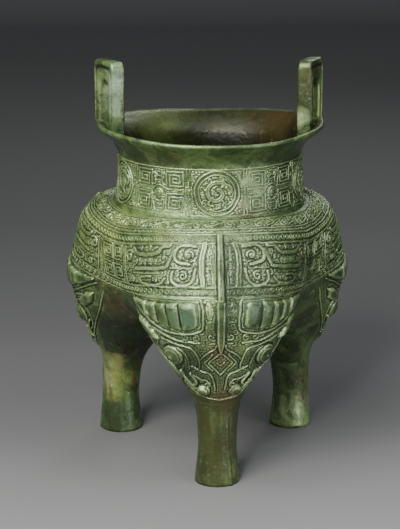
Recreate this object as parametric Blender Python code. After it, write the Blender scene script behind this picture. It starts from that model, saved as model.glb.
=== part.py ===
"""Three-legged bronze cooking vessel with two upright handles, one hollow casting.

Metres, +Z up. The feet stand on z = 0 and one of the three lobes faces -Y. Each form
is worked out round the body's upright axis, then all of them are moved back together
until the origin is below the middle of the whole. The body is a blend of a turned core
and three pouches, each running down into a solid leg. Its relief is joined to the solid.
"""
import math

import bmesh
import bpy
import numpy as np
from mathutils import Matrix, Vector

MM = 0.001

# Heights above the floor
RIM_HEIGHT = 233.6 * MM
HANDLE_RISE = 46.4 * MM      # height of the handles above the rim's front
HANDLE_TOP = RIM_HEIGHT + HANDLE_RISE
RIM_WAVE = 4.5 * MM          # the rim climbs this much towards the handles
FLARE_DEPTH = 17.6 * MM      # height of the flare between neck and rim
NECK_TOP = RIM_HEIGHT - FLARE_DEPTH
SHOULDER_TOP = 182.0 * MM
NECK_BASE = SHOULDER_TOP - 1.0 * MM
NECK = NECK_TOP - NECK_BASE
CROTCH = 82.0 * MM           # underside of the belly on the axis
POUCH_FLOOR = 64.0 * MM      # the legs are solid below this

# Rim, lip and neck
RIM_RADIUS = 79.4 * MM
LIP = 2.8 * MM               # thickness of the lip
NECK_RADIUS = 63.9 * MM
NECK_BASE_RADIUS = 66.6 * MM
WALL = 3.0 * MM

# Core of the body below the neck: an egg round the axis
CORE_RADIUS = 76.0 * MM
CORE_MIDDLE = 148.0 * MM

# Each pouch with its leg, as discs: height, distance from the axis and radius
FOOT_REACH = 73.4 * MM
FOOT_RADIUS = 15.6 * MM
SHANK_HEIGHT = 32.0 * MM
SHANK_RADIUS = 13.3 * MM
KNEE_HEIGHT = 62.0 * MM
KNEE_REACH = 70.0 * MM
KNEE_RADIUS = 18.4 * MM
CALF_HEIGHT = 82.0 * MM
CALF_REACH = 64.0 * MM
CALF_RADIUS = 32.0 * MM
BELLY_HEIGHT = 102.0 * MM
BELLY_REACH = 57.0 * MM
BELLY_RADIUS = 45.5 * MM
WIDE_HEIGHT = 126.0 * MM
WIDE_REACH = 51.0 * MM
WIDE_RADIUS = 55.3 * MM
SHOULDER_HEIGHT = 154.0 * MM
SHOULDER_REACH = 37.5 * MM
SHOULDER_RADIUS = 61.5 * MM
CREST_HEIGHT = 181.0 * MM
CREST_REACH = 28.0 * MM
CREST_RADIUS = 62.0 * MM
AXIS_BEHIND = WIDE_REACH / 4    # the axis stands this far behind the middle of the outline
BLEND = 15.0 * MM            # width of the soft valley between neighbouring forms
SHOULDER_ROUND = 19.0 * MM   # softness of the turn from the flat shoulder to the lobes

# Handles
HANDLE_WIDTH = 29.0 * MM
HANDLE_THICKNESS = 9.8 * MM
HANDLE_TURN = 25.0           # degrees the handles are turned, front edges inwards
HANDLE_REACH = 69.8 * MM
HANDLE_FOOT = 22.0 * MM      # how far the handles reach down inside the flare of the rim
HANDLE_OPENING = 13.0 * MM
HANDLE_BAR = 13.5 * MM
HANDLE_CORNER = 4.5 * MM
HANDLE_EDGE = 1.0 * MM

# Relief
KEPT_SHARE = 0.76            # of the triangles once needless splits are taken out
SINK = 1.4 * MM              # how far each raised form is bedded in the wall
LINE_HEIGHT = 1.1 * MM
LINE_WIDTH = 2.4 * MM
FAN_HEIGHT = 102.0 * MM       # tip of the cones that the shoulder's rows lie on
MEDALLIONS = 5
MEDALLION_GAP = 2.1 * MM      # between a medallion and the edges of the neck's band
MEDALLION_RADIUS = NECK / 2 - MEDALLION_GAP
HORN_HEIGHT = 3.6 * MM
EYE_RADIUS = 7.2 * MM
EYE_HEIGHT = 4.4 * MM
FLANGE_WIDTH = 4.6 * MM
FLANGE_HEIGHT = 3.6 * MM

UPPER_LINE = 171.4 * MM
LOWER_LINE = 144.2 * MM
SECTOR_COLUMNS = 14          # mesh columns across each third of the body
SEAM_STEPS = 3               # mesh steps from a valley to the middle of the belly
LOBES = (270.0, 30.0, 150.0)

for old in list(bpy.data.objects):
    bpy.data.objects.remove(old, do_unlink=True)

REACH = ((0.0, FOOT_REACH), (SHANK_HEIGHT, FOOT_REACH), (KNEE_HEIGHT, KNEE_REACH),
         (CALF_HEIGHT, CALF_REACH), (BELLY_HEIGHT, BELLY_REACH), (WIDE_HEIGHT, WIDE_REACH),
         (SHOULDER_HEIGHT, SHOULDER_REACH), (CREST_HEIGHT, CREST_REACH))
RADIUS = ((0.0, FOOT_RADIUS), (SHANK_HEIGHT, SHANK_RADIUS), (KNEE_HEIGHT, KNEE_RADIUS),
          (CALF_HEIGHT, CALF_RADIUS), (BELLY_HEIGHT, BELLY_RADIUS), (WIDE_HEIGHT, WIDE_RADIUS),
          (SHOULDER_HEIGHT, SHOULDER_RADIUS), (CREST_HEIGHT, CREST_RADIUS))


def along(stations, height):
    """Value at each height on a smooth curve through the stations."""
    z = np.array([station[0] for station in stations])
    v = np.array([station[1] for station in stations])
    lean = np.gradient(v, z)
    h = np.clip(np.asarray(height, float), z[0], z[-1])
    i = np.clip(np.searchsorted(z, h) - 1, 0, len(z) - 2)
    span = z[i + 1] - z[i]
    t = (h - z[i]) / span
    rise = v[i] * (1 + 2 * t) * (1 - t) ** 2 + v[i + 1] * t * t * (3 - 2 * t)
    bend = lean[i] * t * (1 - t) ** 2 - lean[i + 1] * t * t * (1 - t)
    return rise + bend * span


def soft_min(a, b, width):
    gap = np.clip(width - np.abs(a - b), 0.0, None)
    return np.minimum(a, b) - gap * gap / (4 * width)


def field(points, wall=0.0):
    """Roughly the distance outside the body's skin; below zero inside it."""
    x, y, z = points[:, 0], points[:, 1], points[:, 2]
    radius = along(RADIUS, z)
    reach = along(REACH, z)
    if wall:
        room = np.clip((z - POUCH_FLOOR) / (CALF_HEIGHT - POUCH_FLOOR), 0.0, 1.0)
        radius = (radius - wall) * np.sqrt(room)
    out = None
    for lobe in LOBES:
        angle = math.radians(lobe)
        d = np.hypot(x - reach * math.cos(angle), y - reach * math.sin(angle)) - radius
        out = d if out is None else soft_min(out, d, BLEND)
    half = CORE_MIDDLE - CROTCH
    core = (np.hypot(np.hypot(x, y) * half / CORE_RADIUS, z - CORE_MIDDLE) - half) * CORE_RADIUS / half
    out = soft_min(out, core + wall, BLEND)
    return -soft_min(-out, SHOULDER_TOP - wall - z, SHOULDER_ROUND)


def uphill(points, wall=0.0):
    step = 0.2 * MM
    grad = np.zeros_like(points)
    for axis in range(3):
        shift = np.zeros(3)
        shift[axis] = step
        grad[:, axis] = (field(points + shift, wall) - field(points - shift, wall)) / (2 * step)
    return grad


def settle(points, wall):
    """Bring points on to the skin along its slope."""
    for _ in range(4):
        grad = uphill(points, wall)
        steep = np.maximum((grad * grad).sum(1), 0.05)
        move = -(field(points, wall) / steep)[:, None] * grad
        size = np.linalg.norm(move, axis=1, keepdims=True)
        points = points + move * np.minimum(1.0, 6 * MM / np.maximum(size, 1e-9))
    return points


def polar(angle, radius, height):
    a = math.radians(angle)
    return Vector((radius * math.cos(a), radius * math.sin(a), height))


def skin(wall, n, rows, leg_heights):
    """Body, lobes and legs as one quad sheet that hangs from the neck's lower ring.

    n is the number of columns across each third, rows the first guess of each ring's
    radius and height. Returns the points, the faces, the top ring and the last ring of
    each leg.
    """
    m = SEAM_STEPS
    columns = 3 * n
    points, faces, fixed = [], [], []

    def add(point, hold=False):
        points.append(point)
        fixed.append(hold)
        return len(points) - 1

    rings = []
    for row, (radius, height) in enumerate(rows):
        ring = []
        for i in range(columns):
            ring.append(add(polar(210 + i * 360 / columns, radius - wall, height - wall), row == 0))
        rings.append(ring)
    for upper, lower in zip(rings, rings[1:]):
        for i in range(columns):
            j = (i + 1) % columns
            faces.append((upper[i], lower[i], lower[j], upper[j]))
    middle = add(Vector((0, 0, CROTCH + wall)))
    seams = []
    for k in range(3):
        start = points[rings[-1][k * n]]
        seam = []
        for s in range(1, m):
            share = s / m
            low = Vector((0, 0, CROTCH + wall))
            seam.append(add(start.lerp(low, share)))
        seams.append(seam)
    ends = []
    for k in range(3):
        arc = [rings[-1][(k * n + i) % columns] for i in range(n + 1)]
        loop = arc + seams[(k + 1) % 3] + [middle] + seams[k][::-1]
        count = len(loop)
        for height in leg_heights:
            reach = float(along(REACH, height))
            radius = float(along(RADIUS, height))
            room = 1.0
            if wall:
                room = max(0.15, (height - POUCH_FLOOR) / (CALF_HEIGHT - POUCH_FLOOR))
                radius = (radius - wall) * math.sqrt(min(1.0, room))
            centre = polar(LOBES[k], reach, height)
            hold = wall == 0 and height < KNEE_HEIGHT - 5 * MM
            lower = []
            for p in range(count):
                turn = LOBES[k] + 360 * (p - n / 2) / count
                lower.append(add(centre + polar(turn, radius, 0.0), hold))
            for p in range(count):
                q = (p + 1) % count
                faces.append((loop[p], lower[p], lower[q], loop[q]))
            loop = lower
        ends.append(loop)
    xyz = np.array([tuple(p) for p in points])
    held = np.array(fixed)
    sides = set()
    for face in faces:
        for a, b in zip(face, face[1:] + face[:1]):
            sides.add((min(a, b), max(a, b)))
    sides = np.array(sorted(sides))
    degree = np.bincount(sides.ravel(), minlength=len(xyz))[:, None]
    for turn in range(60):
        total = np.zeros_like(xyz)
        np.add.at(total, sides[:, 0], xyz[sides[:, 1]])
        np.add.at(total, sides[:, 1], xyz[sides[:, 0]])
        eased = xyz + (total / degree - xyz) * 0.5
        eased = settle(eased, wall)
        xyz = np.where(held[:, None], xyz, eased)
    return [Vector(p) for p in xyz], faces, rings[0], ends


def neck_profile():
    """Outer side of the neck from its base to the lip, then down the inner side."""
    throat = NECK_RADIUS - WALL
    height = RIM_HEIGHT - NECK_TOP
    flare = RIM_RADIUS - NECK_RADIUS
    outer = [(NECK_RADIUS + 1.3 * MM, NECK_BASE + NECK * 0.2), (NECK_RADIUS, NECK_TOP - NECK * 0.46),
             (NECK_RADIUS, NECK_TOP - NECK * 0.11)]
    for t in (0.12, 0.34, 0.56, 0.76, 0.92):
        outer.append((NECK_RADIUS + flare * t ** 1.7, NECK_TOP + (height - LIP) * t ** 0.9))
    lip = [(RIM_RADIUS, RIM_HEIGHT - LIP * 0.75), (RIM_RADIUS, RIM_HEIGHT - LIP * 0.25),
           (RIM_RADIUS - 1 * MM, RIM_HEIGHT)]
    inner = []
    for t in (0.84, 0.62, 0.4, 0.18):
        inner.append((throat + flare * t ** 1.7, NECK_TOP + height * t ** 0.9))
    inner += [(throat, NECK_TOP - NECK * 0.14), (throat, NECK_TOP - NECK * 0.51),
              (throat + 1.4 * MM, NECK_BASE + NECK * 0.14)]
    return outer + lip, inner


def vessel_shell():
    """One closed sheet: feet, legs, lobes, neck, lip and the hollow inside."""
    mesh = bmesh.new()
    outer_rows = ((NECK_BASE_RADIUS, SHOULDER_TOP), (75 * MM, 180 * MM), (84 * MM, 175 * MM),
                  (92 * MM, 166 * MM), (97 * MM, 153 * MM), (98 * MM, 138 * MM),
                  (97 * MM, 122 * MM), (92 * MM, 106 * MM))
    inner_rows = ((NECK_BASE_RADIUS, SHOULDER_TOP), (84 * MM, 175 * MM), (95 * MM, 157 * MM),
                  (97 * MM, 130 * MM), (92 * MM, 106 * MM))
    outer_legs = (94 * MM, 83 * MM, 73 * MM, 63 * MM, 53 * MM, SHANK_HEIGHT, 0.0)
    inner_legs = (90 * MM, 78 * MM, 69 * MM)
    tops = []
    for wall, columns, rows, heights in ((0.0, SECTOR_COLUMNS, outer_rows, outer_legs),
                                         (WALL, SECTOR_COLUMNS // 2, inner_rows, inner_legs)):
        points, faces, top, ends = skin(wall, columns, rows, heights)
        verts = [mesh.verts.new(p) for p in points]
        for face in faces:
            ring = [verts[i] for i in face]
            mesh.faces.new(ring if not wall else ring[::-1])
        for k, end in enumerate(ends):
            ring = [verts[i] for i in end]
            if wall:
                low = mesh.verts.new(polar(LOBES[k], float(along(REACH, POUCH_FLOOR)), POUCH_FLOOR + 1 * MM))
                for a, b in zip(ring, ring[1:] + ring[:1]):
                    mesh.faces.new((b, a, low))
            else:
                mesh.faces.new(ring[::-1])
        tops.append([verts[i] for i in top])
    rows = [tops[0]]
    outside, inside = neck_profile()
    for profile, columns in ((outside, SECTOR_COLUMNS), (inside, SECTOR_COLUMNS // 2)):
        for radius, height in profile:
            ring = []
            for i in range(3 * columns):
                angle = 210 + i * 120 / columns
                climb = max(0.0, (height - NECK_TOP) / (RIM_HEIGHT - NECK_TOP))
                lift = RIM_WAVE * climb * math.cos(math.radians(angle)) ** 2
                ring.append(mesh.verts.new(polar(angle, radius, height + lift)))
            rows.append(ring)
    rows.append(tops[1])
    for lower, upper in zip(rows, rows[1:]):
        step = len(lower) // len(upper)
        for i in range(len(upper)):
            j = (i + 1) % len(upper)
            edge = [lower[(i * step + k) % len(lower)] for k in range(step + 1)]
            mesh.faces.new(edge + [upper[j], upper[i]])
    bmesh.ops.recalc_face_normals(mesh, faces=mesh.faces)
    return mesh


def to_object(mesh, name, collection):
    data = bpy.data.meshes.new(name)
    mesh.to_mesh(data)
    mesh.free()
    thing = bpy.data.objects.new(name, data)
    collection.objects.link(thing)
    return thing


def cast(base, heading):
    """Outermost point of the skin on the straight line from base along heading."""
    reach = 130 * MM
    steps = np.linspace(0.0, reach, 131)
    origin = np.array(tuple(base))
    way = np.array(tuple(heading))
    inside = field(origin + steps[:, None] * way) < 0
    low = steps[np.nonzero(inside)[0].max()]
    high = low + steps[1]
    for _ in range(12):
        mid = (low + high) / 2
        if field((origin + mid * way)[None])[0] < 0:
            low = mid
        else:
            high = mid
    place = origin + low * way
    normal = Vector(uphill(place[None])[0]).normalized()
    return Vector(place), normal


def on_body(lobe, turn, height):
    """Place and normal on the body, turn degrees round the axis from the lobe's middle.

    The height is the one on the lobe's middle. Away from it the place sinks with the
    body's own swell, as it lies on a cone whose tip is on the axis.
    """
    front = cast(Vector((0, 0, height)), polar(lobe, 1.0, 0.0))[0].xy.length
    rise = (height - FAN_HEIGHT) / front
    return cast(Vector((0, 0, FAN_HEIGHT)), polar(lobe + turn, 1.0, rise))


def on_lobe(lobe, turn, height):
    """Place and normal on a lobe, turn degrees round the lobe's own middle."""
    return cast(polar(lobe, float(along(REACH, height)), height), polar(lobe + turn, 1.0, 0.0))


def on_neck(lobe, turn, height):
    straight = NECK_TOP - NECK * 0.46
    rise = min(1.0, max(0.0, (straight - height) / (straight - NECK_BASE)))
    radius = NECK_RADIUS + (NECK_BASE_RADIUS - NECK_RADIUS) * rise ** 1.6
    return polar(lobe + turn, radius, height), polar(lobe + turn, 1.0, 0.0)


def strip(mesh, spots, width, height, closed=False, flat=0.0):
    """A raised line along a run of places on the skin, sharp unless flat is the share
    of its width that is left level on top."""
    sections = []
    count = len(spots)
    for i, (place, normal) in enumerate(spots):
        before = spots[(i - 1) % count][0] if closed or i else place
        after = spots[(i + 1) % count][0] if closed or i < count - 1 else place
        side = normal.cross(after - before).normalized() * width / 2
        low = place - normal * SINK
        high = place + normal * height
        corners = [low - side, low + side, high]
        if flat:
            corners[2:] = [high + side * flat, high - side * flat]
        sections.append([mesh.verts.new(corner) for corner in corners])
    pairs = list(zip(sections, sections[1:]))
    if closed:
        pairs.append((sections[-1], sections[0]))
    else:
        mesh.faces.new(sections[0][::-1])
        mesh.faces.new(sections[-1])
    for a, b in pairs:
        for i in range(len(a)):
            j = (i + 1) % len(a)
            mesh.faces.new((a[i], a[j], b[j], b[i]))


def cushion(mesh, spots, height, swell=1.15, inset=0.22):
    """A raised cushion over a closed run of places on the skin."""
    middle = sum((place for place, normal in spots), Vector()) / len(spots)
    facing = sum((normal for place, normal in spots), Vector()).normalized()
    low = [mesh.verts.new(place - normal * SINK) for place, normal in spots]
    high = [mesh.verts.new(place.lerp(middle, inset) + normal * height) for place, normal in spots]
    sag = max(0.0, max((middle - place).dot(facing) * -1 for place, normal in spots))
    top = mesh.verts.new(middle + facing * (height * swell + sag))
    base = mesh.verts.new(middle - facing * SINK * 1.5)
    for i in range(len(spots)):
        j = (i + 1) % len(spots)
        mesh.faces.new((low[i], low[j], high[j], high[i]))
        mesh.faces.new((high[i], high[j], top))
        mesh.faces.new((low[j], low[i], base))


def dome(mesh, spot, radius, height, sides=10, tall=1.0):
    """A rounded boss; tall stretches it up the wall."""
    place, normal = spot
    across = normal.cross(Vector((0, 0, 1))).normalized()
    up = across.cross(normal).normalized()
    rings = []
    for share, rise in ((1.0, None), (0.9, 0.45), (0.45, 1.0)):
        ring = []
        for i in range(sides):
            a = 2 * math.pi * i / sides
            lift = -SINK * 1.6 if rise is None else height * rise
            spread = across * math.cos(a) + up * math.sin(a) * tall
            ring.append(mesh.verts.new(place + spread * radius * share + normal * lift))
        rings.append(ring)
    for a, b in zip(rings, rings[1:]):
        for i in range(sides):
            j = (i + 1) % sides
            mesh.faces.new((a[i], a[j], b[j], b[i]))
    mesh.faces.new(rings[0][::-1])
    mesh.faces.new(rings[-1])


def sweep_turns(first, last, count):
    return [first + (last - first) * i / (count - 1) for i in range(count)]


def neck_band(mesh):
    """The border line and the round medallions of the neck."""
    columns = 3 * SECTOR_COLUMNS
    ring = [on_neck(270.0, i * 360 / columns - 60, NECK_TOP - 0.5 * MM) for i in range(columns)]
    strip(mesh, ring, LINE_WIDTH, LINE_HEIGHT * 0.8, closed=True)
    middle = (NECK_TOP + NECK_BASE) / 2 + 1.0 * MM
    for k in range(MEDALLIONS):
        centre = k * 360 / MEDALLIONS
        ring = []
        for i in range(12):
            a = 2 * math.pi * i / 12
            turn = centre + math.degrees(MEDALLION_RADIUS * math.cos(a) / NECK_RADIUS)
            ring.append(on_neck(270.0, turn, middle + MEDALLION_RADIUS * math.sin(a)))
        strip(mesh, ring, LINE_WIDTH, LINE_HEIGHT, closed=True)
        coil = []
        for i in range(6):
            a = math.radians(40 + i * 62)
            r = MEDALLION_RADIUS * (0.66 - 0.08 * i)
            turn = centre + math.degrees(r * math.cos(a) / NECK_RADIUS)
            coil.append(on_neck(270.0, turn, middle + r * math.sin(a)))
        strip(mesh, coil, LINE_WIDTH * 1.2, LINE_HEIGHT)


def shoulder_band(mesh, lobe):
    """Borders, the ridge on the lobe's middle and a dragon on each side of it."""
    for height in (UPPER_LINE, LOWER_LINE):
        run = [on_body(lobe, turn, height) for turn in sweep_turns(-60, 60, SECTOR_COLUMNS + 1)]
        strip(mesh, run, LINE_WIDTH, LINE_HEIGHT * 0.8)
    crest = [on_body(lobe, 0.0, z * MM) for z in (178, 172, 160, 139)]
    strip(mesh, crest, FLANGE_WIDTH, FLANGE_HEIGHT, flat=0.6)
    for side in (-1, 1):
        def at(turn, height):
            return on_body(lobe, side * turn, height * MM)
        strip(mesh, [at(8.0, 166), at(7.5, 158), at(7.0, 148)], 4.4 * MM, LINE_HEIGHT * 1.3, flat=0.5)
        hook = [at(9, 168.5), at(17, 169), at(18, 163), at(12, 163)]
        strip(mesh, hook, 2.6 * MM, LINE_HEIGHT * 1.2)
        jaw = [at(9, 148.5), at(19, 147.5), at(20, 152.5)]
        strip(mesh, jaw, 2.6 * MM, LINE_HEIGHT * 1.2)
        back = [at(11, 157.5), at(20, 157.5), at(23, 166), at(38, 165.5), at(46, 162.5)]
        strip(mesh, back, 3.0 * MM, LINE_HEIGHT * 1.1)
        belly = [at(24, 158), at(41, 156)]
        strip(mesh, belly, 3.0 * MM, LINE_HEIGHT * 1.1)
        tail = [at(50, 161), at(50, 153), at(38, 150.5), at(25, 150)]
        strip(mesh, tail, 2.6 * MM, LINE_HEIGHT * 1.1)


def mask(mesh, lobe):
    """The beast face of one lobe: ringed horns, brows, eyes, nose and snout."""
    ridge = [on_lobe(lobe, 0.0, z * MM) for z in (137.5, 127, 115, 103)]
    strip(mesh, ridge, 6.0 * MM, 2.2 * MM, flat=0.5)
    for side in (-1, 1):
        def at(turn, height):
            return on_lobe(lobe, side * turn, height * MM)
        joints = ((16, 135, 118), (29, 134.5, 116), (38.5, 133.5, 116), (47.5, 132.5, 118),
                  (57, 131.5, 121.5), (76, 130.5, 128))
        for a, b in zip(joints, joints[1:]):
            first, last = a[0] + 0.7, b[0] - 0.7
            mean = ((a[1] + b[1]) / 2, (a[2] + b[2]) / 2)
            block = [at(first, a[2]), at(last, b[2]), at(last, b[1]), at(first, a[1])]
            if a[0] == 16:
                block.insert(1, at((first + last) / 2, mean[1] - 0.6))
                block.insert(4, at((first + last) / 2, mean[0] + 0.4))
            rise = HORN_HEIGHT * (1.15 if a[0] == 16 else 1.0)
            cushion(mesh, block, rise)
        frame = [at(72, 125), at(60, 117.5), at(46, 113), at(30, 112), at(16, 114.5),
                 at(12.5, 119), at(12.5, 135)]
        strip(mesh, frame, 2.0 * MM, LINE_HEIGHT * 1.3)
        dome(mesh, at(7.2, 129.5), 2.3 * MM, 1.8 * MM, sides=6, tall=2.2)
        brow = [at(60, 111.5), at(46, 107.8), at(24, 105.4), at(11, 108.5)]
        strip(mesh, brow, 2.4 * MM, 1.6 * MM)
        dome(mesh, at(47, 95), EYE_RADIUS, EYE_HEIGHT, sides=10)
        lid = [at(60, 103.5), at(46, 104.6), at(33, 99), at(28, 86)]
        strip(mesh, lid, 2.0 * MM, 1.3 * MM)
        cheek = [at(5, 104.5), at(11, 100.5), at(20, 94.5)]
        strip(mesh, cheek, 2.0 * MM, 1.3 * MM)
        diamond = [at(0.5, 100.3), at(11.5, 92.5), at(0.5, 83.5)]
        strip(mesh, diamond, 2.0 * MM, 1.3 * MM)
        muzzle = [at(26, 88), at(9, 82), at(7, 72.5)]
        strip(mesh, muzzle, 2.2 * MM, 1.5 * MM)
        dome(mesh, at(26, 70.5), 4.2 * MM, 3.2 * MM, sides=8)
        ear = [at(62, 117), at(74, 110), at(70, 104), at(62, 108)]
        cushion(mesh, ear, 2.6 * MM)
        whisker = [at(80, 112), at(80, 96), at(68, 79), at(34, 66)]
        strip(mesh, whisker, 2.4 * MM, 2.0 * MM)
    lip = [on_lobe(lobe, turn, z * MM) for turn, z in
           ((-34, 65.5), (-12, 63.8), (12, 63.8), (34, 65.5))]
    strip(mesh, lip, 3.0 * MM, 1.6 * MM)


def under_rim():
    """Ring-shaped cutter that fills the space outside the neck and below the flared rim."""
    flare = neck_profile()[0][2:]
    far = RIM_RADIUS * 1.4
    sides = 48
    mesh = bmesh.new()
    rows = []
    for radius, height in [(far, flare[0][1])] + flare[:-1] + [(far, flare[-2][1])]:
        climb = RIM_WAVE * max(0.0, (height - NECK_TOP) / (RIM_HEIGHT - NECK_TOP))
        inset = 0.0 if radius == far else LIP / 2
        rows.append([mesh.verts.new(polar(i * 360 / sides, radius - inset, height + climb))
                     for i in range(sides)])
    for a, b in zip(rows, rows[1:] + rows[:1]):
        for i in range(sides):
            j = (i + 1) % sides
            mesh.faces.new((a[i], a[j], b[j], b[i]))
    bmesh.ops.recalc_face_normals(mesh, faces=mesh.faces)
    return mesh


def plate_outline(half, low, high, corner, steps):
    """Upright outline with straight sides and a rounded top, feet first."""
    outline = [(-half, low), (half, low)]
    for turn in range(2):
        for i in range(steps + 1):
            a = math.pi / 2 * (i / steps + turn)
            reach = half - corner
            outline.append((reach * (1 if turn == 0 else -1) + corner * math.cos(a),
                            high - corner + corner * math.sin(a)))
    return outline


def extrude_outline(outline, thickness, shift=0.0):
    """Solid plate: the outline lies across, the thickness runs along local Y."""
    mesh = bmesh.new()
    front = [mesh.verts.new((x, shift - thickness / 2, z)) for x, z in outline]
    back = [mesh.verts.new((x, shift + thickness / 2, z)) for x, z in outline]
    mesh.faces.new(front)
    mesh.faces.new(back[::-1])
    for i in range(len(outline)):
        j = (i + 1) % len(outline)
        mesh.faces.new((front[j], front[i], back[i], back[j]))
    bmesh.ops.recalc_face_normals(mesh, faces=mesh.faces)
    return mesh


def boolean(target, tool, operation, overlapping=False):
    step = target.modifiers.new(tool.name, "BOOLEAN")
    step.operation = operation
    step.object = tool
    step.solver = "EXACT"
    step.use_self = overlapping
    tool.hide_render = True
    tool.display_type = "WIRE"
    return step


vessel_set = bpy.data.collections.new("li tripod vessel")
bpy.context.scene.collection.children.link(vessel_set)
tool_set = bpy.data.collections.new("shaping tools")
bpy.context.scene.collection.children.link(tool_set)

vessel = to_object(vessel_shell(), "vessel", vessel_set)

rim_at_handle = RIM_HEIGHT + RIM_WAVE
foot = rim_at_handle - HANDLE_FOOT
skirt = to_object(under_rim(), "space under the rim", tool_set)
for name, side in (("left handle", -1), ("right handle", 1)):
    plate = extrude_outline(plate_outline(HANDLE_WIDTH / 2, foot, HANDLE_TOP, HANDLE_CORNER, 3),
                            HANDLE_THICKNESS)
    edges = [e for e in plate.edges if e.calc_face_angle() > 0.9]
    bmesh.ops.bevel(plate, geom=edges, offset=HANDLE_EDGE, segments=1, affect="EDGES")
    plate = to_object(plate, name, tool_set)
    half = HANDLE_OPENING / 2
    hole = extrude_outline(plate_outline(half, rim_at_handle - 0.6 * MM, HANDLE_TOP - HANDLE_BAR,
                                         half * 0.98, 4), HANDLE_THICKNESS * 3)
    hole = to_object(hole, name + " opening", tool_set)
    boolean(plate, hole, "DIFFERENCE")
    boolean(plate, skirt, "DIFFERENCE")
    turn = -(90 + HANDLE_TURN) * side
    matrix = Matrix.Translation((side * HANDLE_REACH, 0, 0)) @ Matrix.Rotation(math.radians(turn), 4, "Z")
    plate.matrix_world = matrix
    hole.matrix_world = matrix
    boolean(vessel, plate, "UNION")

relief = bmesh.new()
neck_band(relief)
for lobe in LOBES:
    shoulder_band(relief, lobe)
    mask(relief, lobe)
bmesh.ops.recalc_face_normals(relief, faces=relief.faces)
relief = to_object(relief, "relief", tool_set)
boolean(vessel, relief, "UNION", overlapping=True)

for thing in list(vessel_set.objects) + list(tool_set.objects):
    thing.location.y += AXIS_BEHIND

tidy = vessel.modifiers.new("spare points", "DECIMATE")
tidy.decimate_type = "COLLAPSE"
tidy.ratio = KEPT_SHARE

bronze = bpy.data.materials.new("bronze")
bronze.use_nodes = True
shader = bronze.node_tree.nodes["Principled BSDF"]
shader.inputs["Base Color"].default_value = (0.16, 0.2, 0.11, 1.0)
shader.inputs["Metallic"].default_value = 0.4
shader.inputs["Roughness"].default_value = 0.5
vessel.data.materials.append(bronze)
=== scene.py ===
import math

import bmesh
import bpy
import numpy as np
from mathutils import Matrix, Vector


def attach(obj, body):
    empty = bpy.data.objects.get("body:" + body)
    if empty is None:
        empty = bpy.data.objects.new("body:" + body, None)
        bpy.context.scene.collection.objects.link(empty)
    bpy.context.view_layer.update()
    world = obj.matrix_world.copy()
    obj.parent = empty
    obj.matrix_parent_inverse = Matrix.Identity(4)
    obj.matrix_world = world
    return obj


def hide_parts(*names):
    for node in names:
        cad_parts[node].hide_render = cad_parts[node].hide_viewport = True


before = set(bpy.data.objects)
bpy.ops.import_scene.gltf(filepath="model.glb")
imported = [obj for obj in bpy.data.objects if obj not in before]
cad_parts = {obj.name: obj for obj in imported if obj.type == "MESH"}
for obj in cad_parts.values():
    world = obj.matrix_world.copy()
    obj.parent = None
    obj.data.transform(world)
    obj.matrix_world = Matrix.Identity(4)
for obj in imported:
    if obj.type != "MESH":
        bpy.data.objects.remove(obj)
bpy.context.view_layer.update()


# The photographer's table: a seamless grey sweep under soft lamps, and a long lens that
# looks a little down on the vessel. The front leg stands a few degrees right of the lens.
AIM = Vector((0.0, 0.01275, 0.1336))
LOOK_DOWN = math.radians(14.744)
TURN = math.radians(3.708)
DISTANCE = 1.1505
SIDEWAYS = -0.00707
forward = Vector((math.sin(TURN) * math.cos(LOOK_DOWN), math.cos(TURN) * math.cos(LOOK_DOWN),
                  -math.sin(LOOK_DOWN)))
rightward = Vector((math.cos(TURN), -math.sin(TURN), 0.0))
upward = rightward.cross(forward)
camera_data = bpy.data.cameras.new("camera")
camera_data.sensor_fit = "VERTICAL"
camera_data.sensor_height = 36.0
camera_data.lens = 109.8
camera_data.clip_end = 20.0
camera = bpy.data.objects.new("camera", camera_data)
bpy.context.scene.collection.objects.link(camera)
seat = Matrix((rightward, upward, -forward)).transposed().to_4x4()
seat.translation = AIM + rightward * SIDEWAYS - forward * DISTANCE
camera.matrix_world = seat
bpy.context.scene.camera = camera

SWEEP_FRONT = -12.0
SWEEP_SIDE = 9.0
SWEEP_TOP = 3.5
FLAT_END = 2.7
BEND = 0.5
BEND_STEPS = 12
profile = [(SWEEP_FRONT, 0.0), (FLAT_END, 0.0)]
for step in range(1, BEND_STEPS + 1):
    bend = math.pi / 2 * step / BEND_STEPS
    profile.append((FLAT_END + BEND * math.sin(bend), BEND - BEND * math.cos(bend)))
profile.append((FLAT_END + BEND, SWEEP_TOP))
sweep = bmesh.new()
left_edge, right_edge = [[sweep.verts.new((x, y, z)) for y, z in profile] for x in (-SWEEP_SIDE, SWEEP_SIDE)]
for a in range(len(profile) - 1):
    sweep.faces.new((left_edge[a], right_edge[a], right_edge[a + 1], left_edge[a + 1])).smooth = True
sweep_data = bpy.data.meshes.new("sweep")
sweep.to_mesh(sweep_data)
sweep.free()
backdrop = bpy.data.objects.new("sweep", sweep_data)
bpy.context.scene.collection.objects.link(backdrop)
paper = bpy.data.materials.new("grey paper")
paper.use_nodes = True
paper_node, paper_link = paper.node_tree.nodes.new, paper.node_tree.links.new
paper_shader = paper.node_tree.nodes["Principled BSDF"]
paper_shader.inputs["Roughness"].default_value = 0.85
paper_spot = paper_node("ShaderNodeTexCoord").outputs["Object"]
paper_grain = paper_node("ShaderNodeTexNoise")
paper_grain.inputs["Scale"].default_value = 900.0
paper_link(paper_spot, paper_grain.inputs["Vector"])
paper_bump = paper_node("ShaderNodeBump")
paper_bump.inputs["Strength"].default_value = 0.04
paper_link(paper_grain.outputs["Fac"], paper_bump.inputs["Height"])
paper_link(paper_bump.outputs["Normal"], paper_shader.inputs["Normal"])
paper_parts = paper_node("ShaderNodeSeparateXYZ")
paper_link(paper_spot, paper_parts.inputs[0])
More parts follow.
